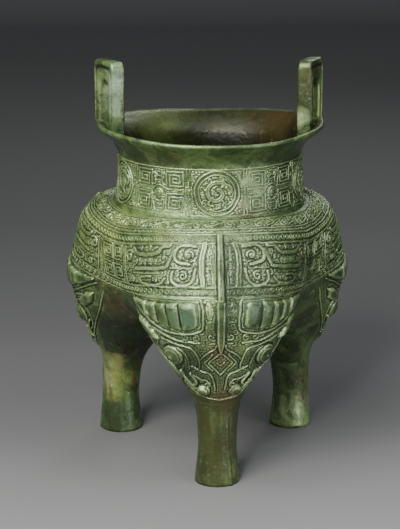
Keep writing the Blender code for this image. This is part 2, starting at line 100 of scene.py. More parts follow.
# the place along the ramp is 0.1 under the vessel and grows by 0.3 a metre towards the back
paper_shift = paper_node("ShaderNodeMath")
paper_shift.operation = "MULTIPLY_ADD"
paper_shift.inputs[1].default_value = 0.3
paper_shift.inputs[2].default_value = 0.1
paper_link(paper_parts.outputs["Y"], paper_shift.inputs[0])
paper_ramp = paper_node("ShaderNodeValToRGB")
paper_link(paper_shift.outputs[0], paper_ramp.inputs["Fac"])
paper_link(paper_ramp.outputs["Color"], paper_shader.inputs["Base Color"])
# painted light and shade on the paper: its grey is darkest behind the vessel and lighter in front and up the
# back wall
PAPER_LIGHT_AND_SHADE = ((0.05, 0.148), (0.112, 0.083), (0.19, 0.055), (0.313, 0.048), (0.52, 0.067), (0.98, 0.12))
marks = paper_ramp.color_ramp.elements
while len(marks) < len(PAPER_LIGHT_AND_SHADE):
    marks.new(0.5)
for mark, (place, shade) in zip(marks, PAPER_LIGHT_AND_SHADE):
    mark.position = place
    mark.color = (shade, shade, shade, 1.0)
sweep_data.materials.append(paper)

# soft lamps: name, place, height looked at, width and height, power and colour
WARM = (1.0, 0.985, 0.95)
COOL = (0.95, 0.98, 1.0)
NEUTRAL = (0.97, 0.99, 1.0)
for name, place, look_at, size, power, tint in (
        ("key softbox", (-0.62, -0.95, 0.95), 0.14, (0.85, 0.7), 42.0, WARM),
        ("small spark lamp", (-0.35, -1.1, 0.85), 0.14, (0.14, 0.14), 6.5, COOL),
        ("fill softbox", (0.95, -0.95, 0.15), 0.08, (0.6, 0.4), 9.5, COOL),
        ("top left softbox", (-0.45, -0.25, 1.25), 0.1, (0.4, 0.5), 8.0, NEUTRAL),
        ("top right softbox", (0.5, -0.35, 1.2), 0.1, (0.35, 0.5), 6.0, NEUTRAL),
        ("back softbox", (0.5, 1.15, 0.95), 0.14, (0.5, 0.4), 4.0, COOL)):
    lamp_data = bpy.data.lights.new(name, "AREA")
    lamp_data.shape = "RECTANGLE"
    lamp_data.size, lamp_data.size_y = size
    lamp_data.energy = power
    lamp_data.color = tint
    lamp = bpy.data.objects.new(name, lamp_data)
    bpy.context.scene.collection.objects.link(lamp)
    lamp.location = place
    lamp.rotation_euler = (Vector((0, 0, look_at)) - Vector(place)).to_track_quat("-Z", "Y").to_euler()
world = bpy.context.scene.world or bpy.data.worlds.new("studio")
bpy.context.scene.world = world
world.use_nodes = True
sky = world.node_tree.nodes["Background"]
sky.inputs["Color"].default_value = (0.7, 0.74, 0.8, 1.0)
sky.inputs["Strength"].default_value = 0.27


# The casting itself: one hollow bronze pot, poured in piece moulds, whose three pouches
# run down into solid legs. The skin is a soft blend of a turned core and the pouches,
# about 3 mm thick, and it carries on up the neck and over the flared lip.
MM = 0.001
FRONT = 270.0                  # degrees round the axis to the side that faces the camera
FIRST_COLUMN = FRONT - 60.0    # where the columns of points round the vessel begin
AXIS_BEHIND = 12.75 * MM       # the vessel's axis stands this far behind the frame's origin
RIM_HEIGHT = 233.6 * MM
RIM_RADIUS = 79.4 * MM
RIM_WAVE = 4.5 * MM
LIP = 2.8 * MM
WALL = 3.0 * MM
NECK_TOP = RIM_HEIGHT - 17.6 * MM
NECK_RADIUS = 63.9 * MM
SHOULDER_TOP = 182.0 * MM
SHOULDER_ROUND = 19.0 * MM
NECK_BASE = SHOULDER_TOP - 1.0 * MM
NECK_BASE_RADIUS = 66.6 * MM
CROTCH = 82.0 * MM
POUCH_FLOOR = 64.0 * MM
CALF_HEIGHT = 82.0 * MM
KNEE_HEIGHT = 62.0 * MM
CORE_RADIUS = 76.0 * MM
CORE_MIDDLE = 148.0 * MM
BLEND = 15.0 * MM
LOBES = (FRONT, 30.0, 150.0)
# each pouch as discs: height, distance from the axis, radius
DISCS = np.array([(0.0, 73.4, 15.6), (32.0, 73.4, 13.3), (62.0, 70.0, 18.4), (82.0, 64.0, 32.0),
                  (102.0, 57.0, 45.5), (126.0, 51.0, 55.3), (154.0, 37.5, 61.5),
                  (181.0, 28.0, 62.0)]) * MM


def along(column, height):
    """Value of one column of the discs at each height, on a smooth curve."""
    z, v = DISCS[:, 0], DISCS[:, column]
    lean = np.gradient(v, z)
    h = np.clip(np.asarray(height, float), z[0], z[-1])
    i = np.clip(np.searchsorted(z, h) - 1, 0, len(z) - 2)
    span = z[i + 1] - z[i]
    t = (h - z[i]) / span
    rise = v[i] * (1 + 2 * t) * (1 - t) ** 2 + v[i + 1] * t * t * (3 - 2 * t)
    return rise + (lean[i] * t * (1 - t) ** 2 - lean[i + 1] * t * t * (1 - t)) * span


def ease(x):
    """A smooth step from 0 to 1."""
    x = np.clip(x, 0.0, 1.0)
    return x * x * (3 - 2 * x)


def soft_min(a, b, width):
    """The lower of two values, rounded where they meet."""
    gap = np.clip(width - np.abs(a - b), 0.0, None)
    return np.minimum(a, b) - gap * gap / (4 * width)


def field(points, wall=0.0):
    """Roughly the distance outside the skin; below zero inside it."""
    x, y, z = points[:, 0], points[:, 1], points[:, 2]
    radius, reach = along(2, z), along(1, z)
    if wall:
        room = np.clip((z - POUCH_FLOOR) / (CALF_HEIGHT - POUCH_FLOOR), 0.0, 1.0)
        radius = (radius - wall) * np.sqrt(room)
    out = None
    for lobe in LOBES:
        angle = math.radians(lobe)
        d = np.hypot(x - reach * math.cos(angle), y - reach * math.sin(angle)) - radius
        out = d if out is None else soft_min(out, d, BLEND)
    half = CORE_MIDDLE - CROTCH
    core = (np.hypot(np.hypot(x, y) * half / CORE_RADIUS, z - CORE_MIDDLE) - half) * CORE_RADIUS / half
    out = soft_min(out, core + wall, BLEND)
    return -soft_min(-out, SHOULDER_TOP - wall - z, SHOULDER_ROUND)


def uphill(points, wall=0.0):
    """Slope of the field at each point."""
    step = 0.2 * MM
    grad = np.zeros_like(points)
    for axis in range(3):
        shift = np.zeros(3)
        shift[axis] = step
        grad[:, axis] = (field(points + shift, wall) - field(points - shift, wall)) / (2 * step)
    return grad


def settle(points, wall, rounds=4):
    """Bring points on to the skin along its slope."""
    for _ in range(rounds):
        grad = uphill(points, wall)
        steep = np.maximum((grad * grad).sum(1), 0.05)
        move = -(field(points, wall) / steep)[:, None] * grad
        size = np.linalg.norm(move, axis=1, keepdims=True)
        points = points + move * np.minimum(1.0, 6 * MM / np.maximum(size, 1e-9))
    return points


def polar(angle, radius, height):
    """Places from an angle in degrees, a distance from the axis and a height."""
    a = np.radians(angle)
    return np.stack(np.broadcast_arrays(radius * np.cos(a), radius * np.sin(a), height), -1)


def skin(wall, n, rows, leg_heights, seam_steps):
    """Body, lobes and legs as one quad sheet that hangs from the neck's lower ring."""
    columns = 3 * n
    points, faces, held = [], [], []

    def add(point, hold=False):
        points.append(np.asarray(point, float))
        held.append(hold)
        return len(points) - 1

    rings = []
    for row, (radius, height) in enumerate(rows):
        rings.append([add(polar(FIRST_COLUMN + i * 360 / columns, radius * MM - wall, height * MM - wall),
                          row == 0) for i in range(columns)])
    for upper, lower in zip(rings, rings[1:]):
        for i in range(columns):
            j = (i + 1) % columns
            faces.append((upper[i], lower[i], lower[j], upper[j]))
    low = np.array((0, 0, CROTCH + wall))
    middle = add(low)
    seams = []
    for k in range(3):
        start = points[rings[-1][k * n]]
        seams.append([add(start + (low - start) * s / seam_steps) for s in range(1, seam_steps)])
    ends = []
    for k in range(3):
        arc = [rings[-1][(k * n + i) % columns] for i in range(n + 1)]
        loop = arc + seams[(k + 1) % 3] + [middle] + seams[k][::-1]
        count = len(loop)
        for height in np.array(leg_heights) * MM:
            reach, radius = float(along(1, height)), float(along(2, height))
            if wall:
                room = max(0.15, (height - POUCH_FLOOR) / (CALF_HEIGHT - POUCH_FLOOR))
                radius = (radius - wall) * math.sqrt(min(1.0, room))
            centre = polar(LOBES[k], reach, height)
            hold = wall == 0 and height < KNEE_HEIGHT - 5 * MM
            lower = [add(centre + polar(LOBES[k] + 360 * (p - n / 2) / count, radius, 0.0), hold)
                     for p in range(count)]
            for p in range(count):
                q = (p + 1) % count
                faces.append((loop[p], lower[p], lower[q], loop[q]))
            loop = lower
        ends.append(loop)
    xyz, held = np.array(points), np.array(held)
    sides = np.array(sorted({(min(a, b), max(a, b)) for f in faces for a, b in zip(f, f[1:] + f[:1])}))
    degree = np.bincount(sides.ravel(), minlength=len(xyz))[:, None]
    for _ in range(60):
        total = np.zeros_like(xyz)
        np.add.at(total, sides[:, 0], xyz[sides[:, 1]])
        np.add.at(total, sides[:, 1], xyz[sides[:, 0]])
        eased = settle(xyz + (total / degree - xyz) * 0.5, wall, 2)
        xyz = np.where(held[:, None], xyz, eased)
    return xyz, np.array(faces), rings[0], ends


def finer(xyz, faces, loops):
    """Halve every edge of a quad sheet; loops are rows of points to be kept in step."""
    edges = {}
    points = [tuple(p) for p in xyz]

    def half(a, b):
        key = (min(a, b), max(a, b))
        if key not in edges:
            edges[key] = len(points)
            points.append(tuple((xyz[a] + xyz[b]) / 2))
        return edges[key]

    quads = []
    for a, b, c, d in faces.tolist():
        ab, bc, cd, da = half(a, b), half(b, c), half(c, d), half(d, a)
        middle = len(points)
        points.append(tuple((xyz[a] + xyz[b] + xyz[c] + xyz[d]) / 4))
        quads += [(a, ab, middle, da), (ab, b, bc, middle), (middle, bc, c, cd), (da, middle, cd, d)]
    loops = [[v for a, b in zip(loop, loop[1:] + loop[:1]) for v in (a, half(a, b))] for loop in loops]
    return np.array(points), np.array(quads), loops


FLARE_CURVE = 1.7
FLARE_CLIMB = 0.9


def neck_run(t, radius, height):
    """Outline of the flare for t from 0 at the neck to 1 at the lip."""
    return radius + (RIM_RADIUS - NECK_RADIUS) * t ** FLARE_CURVE, NECK_TOP + height * t ** FLARE_CLIMB


def round_legs(xyz):
    """Make the rings of the lower legs round, and raise the faint casting seam down each."""
    seam_rise = 0.055
    for lobe in LOBES:
        a = math.radians(lobe)
        z = xyz[:, 2]
        out = along(1, z)
        dx, dy = xyz[:, 0] - out * math.cos(a), xyz[:, 1] - out * math.sin(a)
        r = np.hypot(dx, dy)
        mine = (z <= KNEE_HEIGHT - 6 * MM) & (r < 25 * MM) & (r > 1 * MM)
        share = np.where(mine, along(2, z) / np.maximum(r, 1e-9), 1.0)
        around = np.degrees(np.arctan2(dy, dx)) - lobe - 34 + 14 * z / KNEE_HEIGHT
        around = (around + 180) % 360 - 180
        low = ease((KNEE_HEIGHT - 8 * MM - z) / (12 * MM))
        share = share * (1 + seam_rise * np.exp(-(around / 5.0) ** 2) * low)
        xyz[mine, 0] = (out * math.cos(a) + dx * share)[mine]
        xyz[mine, 1] = (out * math.sin(a) + dy * share)[mine]


def close_end(mesh, ring, lobe, hollow):
    """Close a pouch's floor with one tip inside, or the sole of a foot outside."""
    if hollow:
        tip = mesh.verts.new(polar(lobe, float(along(1, POUCH_FLOOR)), POUCH_FLOOR + 1 * MM))
        for a, b in zip(ring, ring[1:] + ring[:1]):
            mesh.faces.new((b, a, tip))
        return
    middle = mesh.verts.new(polar(lobe, DISCS[0, 1], 0.0))
    inner = [mesh.verts.new(vert.co.lerp(middle.co, 0.06)) for vert in ring]
    for i in range(len(ring)):
        j = (i + 1) % len(ring)
        mesh.faces.new((ring[i], inner[i], inner[j], ring[j]))
        mesh.faces.new((inner[i], middle, inner[j]))


def make_casting():
    """The closed skin of the whole pot: outside, legs, lip and inside."""
    mesh = bmesh.new()
    tops = []
    # rings down the body, as radius and height in mm, then the heights of the rings of each leg
    outer_rows = ((66.6, 182), (72, 181), (78, 179), (84, 175), (88, 171), (92, 166), (95, 160),
                  (97, 153), (98, 146), (98, 138), (98, 130), (97, 122), (95, 114), (92, 106))
    inner_rows = ((66.6, 182), (84, 175), (95, 157), (97, 130), (92, 106))
    outer_legs = (98, 91, 85, 79, 73, 68, 63, 58, 53, 46, 40, 32, 24, 16, 8, 0)
    for wall, n, rows, legs, seam in ((0.0, 24, outer_rows, outer_legs, 4),
                                      (WALL, 12, inner_rows, (90, 78, 69), 2)):
        xyz, faces, top, ends = skin(wall, n, rows, legs, seam)
        loops = [top] + ends
        for _ in range(2):
            xyz, faces, loops = finer(xyz, faces, loops)
            free = np.hypot(xyz[:, 0], xyz[:, 1]) > 0 if wall else xyz[:, 2] > KNEE_HEIGHT - 6 * MM
            free[loops[0]] = False
            xyz[free] = settle(xyz[free], wall, 3)
        if not wall:
            round_legs(xyz)
        verts = [mesh.verts.new(p) for p in xyz]
        for face in faces.tolist():
            mesh.faces.new([verts[i] for i in (face[::-1] if wall else face)])
        for lobe, end in zip(LOBES, loops[1:]):
            close_end(mesh, [verts[i] for i in end], lobe, wall > 0)
        tops.append([verts[i] for i in loops[0]])
    outside = [(NECK_RADIUS + 1.3 * MM, NECK_BASE + 7 * MM), (NECK_RADIUS, NECK_TOP - 16 * MM),
               (NECK_RADIUS, NECK_TOP - 4 * MM)]
    outside += [neck_run(t, NECK_RADIUS, RIM_HEIGHT - LIP - NECK_TOP)
                for t in (0.08, 0.16, 0.25, 0.34, 0.45, 0.56, 0.66, 0.76, 0.85, 0.93)]
    edge = [(RIM_RADIUS - LIP / 2 + LIP / 2 * math.sin(a), RIM_HEIGHT - LIP / 2 - LIP / 2 * math.cos(a))
            for a in np.linspace(0.35, math.pi, 7)]
    throat = NECK_RADIUS - WALL
    inside = [neck_run(t, throat, RIM_HEIGHT - NECK_TOP)
              for t in (0.92, 0.84, 0.73, 0.62, 0.51, 0.4, 0.29, 0.18, 0.08)]
    inside += [(throat, NECK_TOP - 5 * MM), (throat, NECK_TOP - 18 * MM),
               (throat + 1.4 * MM, NECK_BASE + 5 * MM)]
    rows = [tops[0]]
    for profile, count in ((outside + edge, len(tops[0])), (inside, len(tops[1]))):
        angle = FIRST_COLUMN + np.arange(count) * 360 / count
        # the lip isn't quite even, and it climbs towards the handles
        uneven = 0.35 * MM * (np.sin(np.radians(angle * 3 + 40)) + 0.6 * np.sin(np.radians(angle * 7)))
        wave = RIM_WAVE * np.cos(np.radians(angle)) ** 2 + uneven
        for radius, height in profile:
            climb = max(0.0, (height - NECK_TOP) / (RIM_HEIGHT - NECK_TOP))
            rows.append([mesh.verts.new(p) for p in polar(angle, radius, height + wave * climb)])
    rows.append(tops[1])
    for lower, upper in zip(rows, rows[1:]):
        step = len(lower) // len(upper)
        for i in range(len(upper)):
            j = (i + 1) % len(upper)
            row = [lower[(i * step + k) % len(lower)] for k in range(step + 1)]
            mesh.faces.new(row + [upper[j], upper[i]])
    bmesh.ops.recalc_face_normals(mesh, faces=mesh.faces)
    return mesh


def finish_piece(mesh, name, wear, within=0.0):
    """Make a piece of a mesh that was worked out round the vessel's own axis."""
    bmesh.ops.translate(mesh, vec=(0, AXIS_BEHIND, 0), verts=mesh.verts)
    data = bpy.data.meshes.new(name)
    mesh.to_mesh(data)
    mesh.free()
    join_piece(data, name, wear, within)


def join_piece(data, name, wear, within=0.0):
    """Smooth the mesh, give it its bronze and its wear with painted highlight and shade, and ride it on the
    body.
    """
    data.polygons.foreach_set("use_smooth", [True] * len(data.polygons))
    data.materials.append(bronze)
    thing = bpy.data.objects.new(name, data)
    bpy.context.scene.collection.objects.link(thing)
    # red is wear and painted relief light: over a half a rubbed edge with painted highlight,
    # under it a pit with dirt and painted shade. Green is the inside.
    paint = np.zeros((len(data.vertices), 4), np.float32)
    paint[:, 0] = wear
    paint[:, 1] = within
    paint[:, 3] = 1.0
    layer = data.attributes.new("cast", "FLOAT_COLOR", "POINT")
    layer.data.foreach_set("color", paint.ravel())
    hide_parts("vessel")
    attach(thing, "root")


bronze = bpy.data.materials.new("patinated bronze")
bronze.use_nodes = True
tree = bronze.node_tree
nodes, links = tree.nodes, tree.links
metal = nodes["Principled BSDF"]
spot = nodes.new("ShaderNodeTexCoord").outputs["Object"]


def noise(scale, detail, rough, distort=0.0, source=None):
    node = nodes.new("ShaderNodeTexNoise")
    node.inputs["Scale"].default_value = scale
    node.inputs["Detail"].default_value = detail
    node.inputs["Roughness"].default_value = rough
    node.inputs["Distortion"].default_value = distort
    links.new(source or spot, node.inputs["Vector"])
    return node.outputs["Fac"]


def span(value, low, high, out_low=0.0, out_high=1.0):
    node = nodes.new("ShaderNodeMapRange")
    node.inputs["From Min"].default_value = low
    node.inputs["From Max"].default_value = high
    node.inputs["To Min"].default_value = out_low
    node.inputs["To Max"].default_value = out_high
    links.new(value, node.inputs["Value"])
    return node.outputs["Result"]


def math_node(kind, a, b):
    node = nodes.new("ShaderNodeMath")
    node.operation = kind
    for value, socket in zip((a, b), node.inputs):
        if isinstance(value, float):
            socket.default_value = value
        else:
            links.new(value, socket)
    return node.outputs[0]


def mix(share, a, b):
    node = nodes.new("ShaderNodeMix")
    node.data_type = "RGBA"
    links.new(share, node.inputs[0])
    for value, socket in ((a, node.inputs[6]), (b, node.inputs[7])):
        if isinstance(value, tuple):
            socket.default_value = value + (1.0,)
        else:
            links.new(value, socket)
    return node.outputs[2]


def patch(angle, height, reach, size):
    """Share of a patch round one place of the skin, with a ragged edge; patches are stains and painted light
    and shade.
    """
    gap = nodes.new("ShaderNodeVectorMath")
    gap.operation = "DISTANCE"
    links.new(spot, gap.inputs[0])
    centre = polar(FRONT + angle, reach * MM, height * MM) + np.array((0.0, AXIS_BEHIND, 0.0))
    gap.inputs[1].default_value = tuple(centre)
    ragged = math_node("ADD", gap.outputs["Value"], span(rag, 0.3, 0.7, -size * 0.7 * MM, size * 0.7 * MM))
    return span(ragged, size * 1.6 * MM, size * 0.4 * MM)


def lay_patches(colour, stains):
    """Lay patches of stain and of painted light and shade over a colour, one after the other."""
    for angle, height, reach, size, tint, share in stains:
        colour = mix(math_node("MULTIPLY", patch(angle, height, reach, size), share), colour, tint)
    return colour


def clouded(colour, clouds):
    """Lay patches over a colour where a noise is strong: its grain, its range and its colour."""
    for grain, reach, tint in clouds:
        colour = mix(span(noise(*grain), *reach), colour, tint)
    return colour


cast_map = nodes.new("ShaderNodeAttribute")
cast_map.attribute_name = "cast"
split = nodes.new("ShaderNodeSeparateColor")
links.new(cast_map.outputs["Color"], split.inputs[0])
wear_and_relief_light, within = split.outputs[:2]
rag = noise(75.0, 6.0, 0.7)
DARK = (0.020, 0.037, 0.011)
MID = (0.062, 0.105, 0.030)
SAGE = (0.135, 0.205, 0.070)
PALE = (0.300, 0.395, 0.180)
CREAM = (0.300, 0.310, 0.130)
YELLOW = (0.260, 0.310, 0.065)
BROWN = (0.085, 0.050, 0.018)
OLIVE = (0.040, 0.045, 0.009)
# near black: soot, and painted shade in the hollows, between the legs and in the throat
SOOT_AND_SHADE = (0.009, 0.010, 0.005)
TEAL = (0.060, 0.125, 0.085)
# a painted highlight: the bluish sheen on the left handle's face
PAINTED_GLEAM = (0.260, 0.330, 0.270)
colour = mix(span(noise(13.0, 4.0, 0.6, 0.3), 0.38, 0.62), DARK, MID)
colour = clouded(colour, (((34.0, 6.0, 0.72, 0.5), (0.44, 0.62, 0.0, 0.85), SAGE),
                          ((9.0, 5.0, 0.65, 0.6), (0.55, 0.68, 0.0, 0.45), YELLOW),
                          ((21.0, 5.0, 0.7, 0.8), (0.60, 0.72, 0.0, 0.5), BROWN)))
# stains, and patches of painted light and shade: angle from the front, height, distance
# from the axis and size in mm, colour, share
STAINS_AND_PAINTED_LIGHT = (
    # the broad sage patches at -50 and -30 degrees and the yellow one at -65 degrees, over the left of the
    # shoulder and neck, are patina and painted light on the lit left side
    (-50, 185, 78, 46, SAGE, 0.75), (-30, 200, 64, 34, SAGE, 0.7), (-65, 165, 80, 22, YELLOW, 0.55),
    (0, 156, 96, 24, SAGE, 0.2), (-22, 124, 98, 16, MID, 0.7), (22, 124, 98, 16, MID, 0.7),
    (20, 190, 66, 26, PALE, 0.35), (-109, 42, 73, 13, YELLOW, 0.7), (-120, 56, 70, 12, YELLOW, 0.6),
    # painted shade: the near-black patches at -98 degrees and 54 mm, -84 degrees and 92 mm and -104 degrees
    # and 72 mm darken the hollow between the front and left lobes and legs
    (-98, 54, 62, 10, SOOT_AND_SHADE, 0.7), (-109, 12, 72, 22, DARK, 0.7), (112, 10, 76, 19, SAGE, 0.95),
    (112, 14, 76, 14, PALE, 0.45), (-84, 92, 58, 22, SOOT_AND_SHADE, 0.9), (-72, 110, 66, 12, BROWN, 0.8),
    (-104, 72, 50, 22, SOOT_AND_SHADE, 0.9), (-52, 220, 66, 8, BROWN, 0.85), (-38, 221, 68, 7, BROWN, 0.7),
    (17, 185.4, 66, 7, BROWN, 0.8), (40, 222, 68, 10, MID, 0.8), (42, 156, 85, 8, BROWN, 0.85),
    (30, 140, 92, 7, BROWN, 0.6), (-1, 101, 102, 7, BROWN, 0.95), (0, 92, 98, 4, BROWN, 0.8),
    (110, 25, 76, 6, BROWN, 0.95), (112, 38, 76, 7, BROWN, 0.8), (-2, 40, 86, 18, OLIVE, 0.85),
    (-2, 15, 88, 18, OLIVE, 0.7), (10, 52, 84, 6, BROWN, 0.7), (83, 97, 68, 9, BROWN, 0.75),
    (93, 80, 58, 14, SAGE, 0.5), (-73, 126, 78, 9, BROWN, 0.6), (85, 118, 80, 14, DARK, 0.6),
    # painted shade: the dark patch at 60 degrees and 165 mm darkens the right of the shoulder
    (-12, 126, 102, 11, TEAL, 0.6), (12, 126, 102, 10, TEAL, 0.5), (60, 165, 80, 26, DARK, 0.6),
    # painted shadow: the dark patches at 1 to 2 degrees, from 170 down to 120 mm, darken the right side of
    # the flange
    (2, 170, 98, 7, DARK, 0.75), (2, 158, 102, 7, DARK, 0.75), (2, 146, 105, 7, DARK, 0.75),
    # painted shade: the dark patch at 45 degrees and 200 mm darkens the right of the neck
    (2, 134, 106, 6, DARK, 0.7), (1, 120, 105, 6, DARK, 0.6), (45, 200, 66, 24, DARK, 0.5),
    # the teal patch at -73 degrees and 268 mm on the left handle is teal patina with a painted highlight
    (73, 262, 77, 17, OLIVE, 0.85), (75, 244, 77, 15, DARK, 0.75), (-73, 268, 76, 13, TEAL, 0.7),
    (-72, 246, 76, 12, SAGE, 0.7), (6, 60, 88, 7, BROWN, 0.75), (7, 44, 90, 6, BROWN, 0.7),
    (5, 26, 92, 6, BROWN, 0.6), (-10, 30, 90, 8, SAGE, 0.35), (-116, 38, 80, 9, PALE, 0.6),
    (-106, 30, 78, 7, YELLOW, 0.7), (-112, 50, 80, 7, SAGE, 0.8), (104, 52, 74, 9, SAGE, 0.6),
    # the sage patches at 112 degrees and 60 mm and at 80 degrees and 100 mm are paler patina and painted
    # light, lifting the shade on the right leg and lobe
    (112, 60, 74, 18, SAGE, 0.8), (80, 100, 76, 18, SAGE, 0.4), (4, 218, 70, 18, SAGE, 0.4),
    (-40, 218, 70, 15, SAGE, 0.35), (-26, 222, 70, 7, BROWN, 0.7), (84, 84, 64, 14, SAGE, 0.5),
    # painted shade: the dark patch at 62 degrees and 135 mm darkens the right of the body
    (112, 8, 78, 18, PALE, 0.4), (62, 135, 80, 24, DARK, 0.4), (72, 258, 64, 24, OLIVE, 0.85),
    (-84, 262, 66, 14, PALE, 0.5), (80, 241, 62, 6, PALE, 0.7), (20, 70, 84, 16, DARK, 0.6),
    (35, 110, 90, 14, DARK, 0.4), (0, 212, 64, 9, SAGE, 0.6), (-95, 225, 70, 14, DARK, 0.4),
)
colour = lay_patches(colour, STAINS_AND_PAINTED_LIGHT)
# streaks down the legs: a noise drawn out upwards, fading away above the knees
squash = nodes.new("ShaderNodeMapping")
squash.inputs["Scale"].default_value = (1.0, 1.0, 0.16)
links.new(spot, squash.inputs["Vector"])
streaks = noise(120.0, 5.0, 0.7, 0.4, squash.outputs["Vector"])
height_of = nodes.new("ShaderNodeSeparateXYZ")
links.new(spot, height_of.inputs[0])
on_legs = span(height_of.outputs["Z"], 0.085, 0.055)
colour = mix(math_node("MULTIPLY", span(streaks, 0.54, 0.64, 0.0, 0.75), on_legs), colour, BROWN)
colour = mix(math_node("MULTIPLY", span(streaks, 0.46, 0.38, 0.0, 0.6), on_legs), colour, SAGE)
# specks, then dark blooms, then pale rubbed edges with painted highlight, and dirt with
# painted shade in the pits
colour = clouded(colour, (((150.0, 6.0, 0.75), (0.60, 0.70, 0.0, 0.75), PALE),
                          ((190.0, 5.0, 0.75), (0.40, 0.30, 0.0, 0.7), SOOT_AND_SHADE),
                          ((19.0, 6.0, 0.7, 0.9), (0.50, 0.62, 0.0, 0.6), DARK),
                          ((58.0, 6.0, 0.75, 0.6), (0.48, 0.60, 0.0, 0.8), DARK)))
mottle = span(noise(26.0, 6.0, 0.75), 0.36, 0.58, 0.16, 0.85)
# pale rubbed edges carry a painted highlight; the pits are dark with dirt and painted shade
colour = mix(math_node("MULTIPLY", span(wear_and_relief_light, 0.60, 0.96), mottle), colour, PALE)
colour = mix(span(wear_and_relief_light, 0.48, 0.27, 0.0, 0.93), colour, SOOT_AND_SHADE)
# patches that also cover the rubbed edges: painted shadow beside the flange, painted shade
# on the right side, a painted highlight on the left handle, and stains on the legs
SHADED = (
    # painted shadow: these dark patches at 1.5 to 2.5 degrees darken the right side of the flange
    (2.5, 172, 98, 6, DARK, 0.85), (2.5, 162, 101, 6, DARK, 0.85), (2.5, 152, 103, 6, DARK, 0.85),
    (2.5, 142, 105, 6, DARK, 0.85), (2.5, 132, 106, 6, DARK, 0.8), (1.5, 121, 105, 6, DARK, 0.6),
    # the bluish-white patch at -73 degrees and 264 mm is a painted highlight on the left handle's face
    (0, 40, 90, 22, OLIVE, 0.6), (0, 12, 90, 18, OLIVE, 0.45), (-73, 264, 77, 14, PAINTED_GLEAM, 0.5),
    # painted shade: the dark patch at 48 degrees and 150 mm darkens the right of the band
    (3, 66, 92, 8, BROWN, 0.5), (15, 128, 100, 9, DARK, 0.45), (48, 150, 92, 18, DARK, 0.35),
    (8, 150, 102, 8, DARK, 0.35), (-26, 178, 88, 10, YELLOW, 0.25), (-96, 140, 100, 20, DARK, 0.4),
    (-116, 57, 78, 11, YELLOW, 0.6), (-105, 52, 78, 9, CREAM, 0.5), (-110, 44, 78, 6, CREAM, 0.5),
    (8, 40, 97, 5, SAGE, 0.65), (12, 24, 98, 5, SAGE, 0.65), (15, 8, 99, 5, SAGE, 0.55),
    # painted shade: the dark patches at 34 degrees and 152 mm and at 50 degrees and 198 mm darken the right
    # of the band and of the neck
    (34, 152, 96, 17, DARK, 0.35), (50, 198, 64, 19, DARK, 0.3), (107, 44, 82, 5, BROWN, 0.8),
    (108, 28, 84, 5, BROWN, 0.7), (117, 30, 70, 6, BROWN, 0.5),
)
colour = lay_patches(colour, SHADED)
# the inside is sooty, greener at the left back and browner at the right, with painted
# shade near black low at the back of the throat
dim = mix(span(noise(30.0, 5.0, 0.7, 0.4), 0.42, 0.66), (0.005, 0.006, 0.003), (0.024, 0.020, 0.008))
dim = mix(span(noise(120.0, 5.0, 0.7), 0.60, 0.72, 0.0, 0.8), dim, (0.13, 0.095, 0.03))
dim = lay_patches(dim, ((-150, 228, 72, 34, (0.075, 0.100, 0.026), 0.85),
                    (170, 234, 74, 22, (0.065, 0.075, 0.022), 0.6),
                    (135, 230, 74, 22, (0.080, 0.055, 0.016), 0.4),
                    # painted shade: the two near-black patches low at the back of the throat
                    (180, 212, 62, 26, SOOT_AND_SHADE, 0.9), (150, 208, 62, 20, SOOT_AND_SHADE, 0.7)))
colour = mix(math_node("MULTIPLY", within, 0.98), colour, dim)
links.new(colour, metal.inputs["Base Color"])
metal.inputs["Metallic"].default_value = 0.45
links.new(span(within, 0.0, 1.0, 0.75, 0.3), metal.inputs["Specular IOR Level"])
shine = span(noise(48.0, 5.0, 0.7), 0.32, 0.7, 0.12, 0.37)
links.new(math_node("ADD", shine, span(wear_and_relief_light, 0.45, 0.2, 0.0, 0.25)), metal.inputs["Roughness"])
bump = nodes.new("ShaderNodeBump")
bump.inputs["Strength"].default_value = 0.65
bump.inputs["Distance"].default_value = 0.0007
pits = math_node("ADD", noise(330.0, 7.0, 0.75), math_node("MULTIPLY", noise(95.0, 4.0, 0.6), 1.5))
links.new(pits, bump.inputs["Height"])
links.new(bump.outputs["Normal"], metal.inputs["Normal"])

casting = make_casting()
casting.normal_update()
places = np.array([tuple(vert.co) for vert in casting.verts])
outward = np.array([vert.normal.x * vert.co.x + vert.normal.y * vert.co.y for vert in casting.verts])
radii = np.hypot(places[:, 0], places[:, 1])
in_neck = (outward < 0.05 * radii) & (radii < RIM_RADIUS - 2 * MM)
in_body = (field(places) < -WALL / 2) & (places[:, 2] > POUCH_FLOOR)
inner_share = np.where(places[:, 2] > NECK_BASE, in_neck, in_body).astype(float)
# the lip is a little paler: wear, and a painted highlight along its edge
rim_wear_and_gleam = np.where((radii > RIM_RADIUS - 3 * MM) & (places[:, 2] > RIM_HEIGHT - 2 * MM), 0.62, 0.5)
finish_piece(casting, "casting", rim_wear_and_gleam, inner_share)


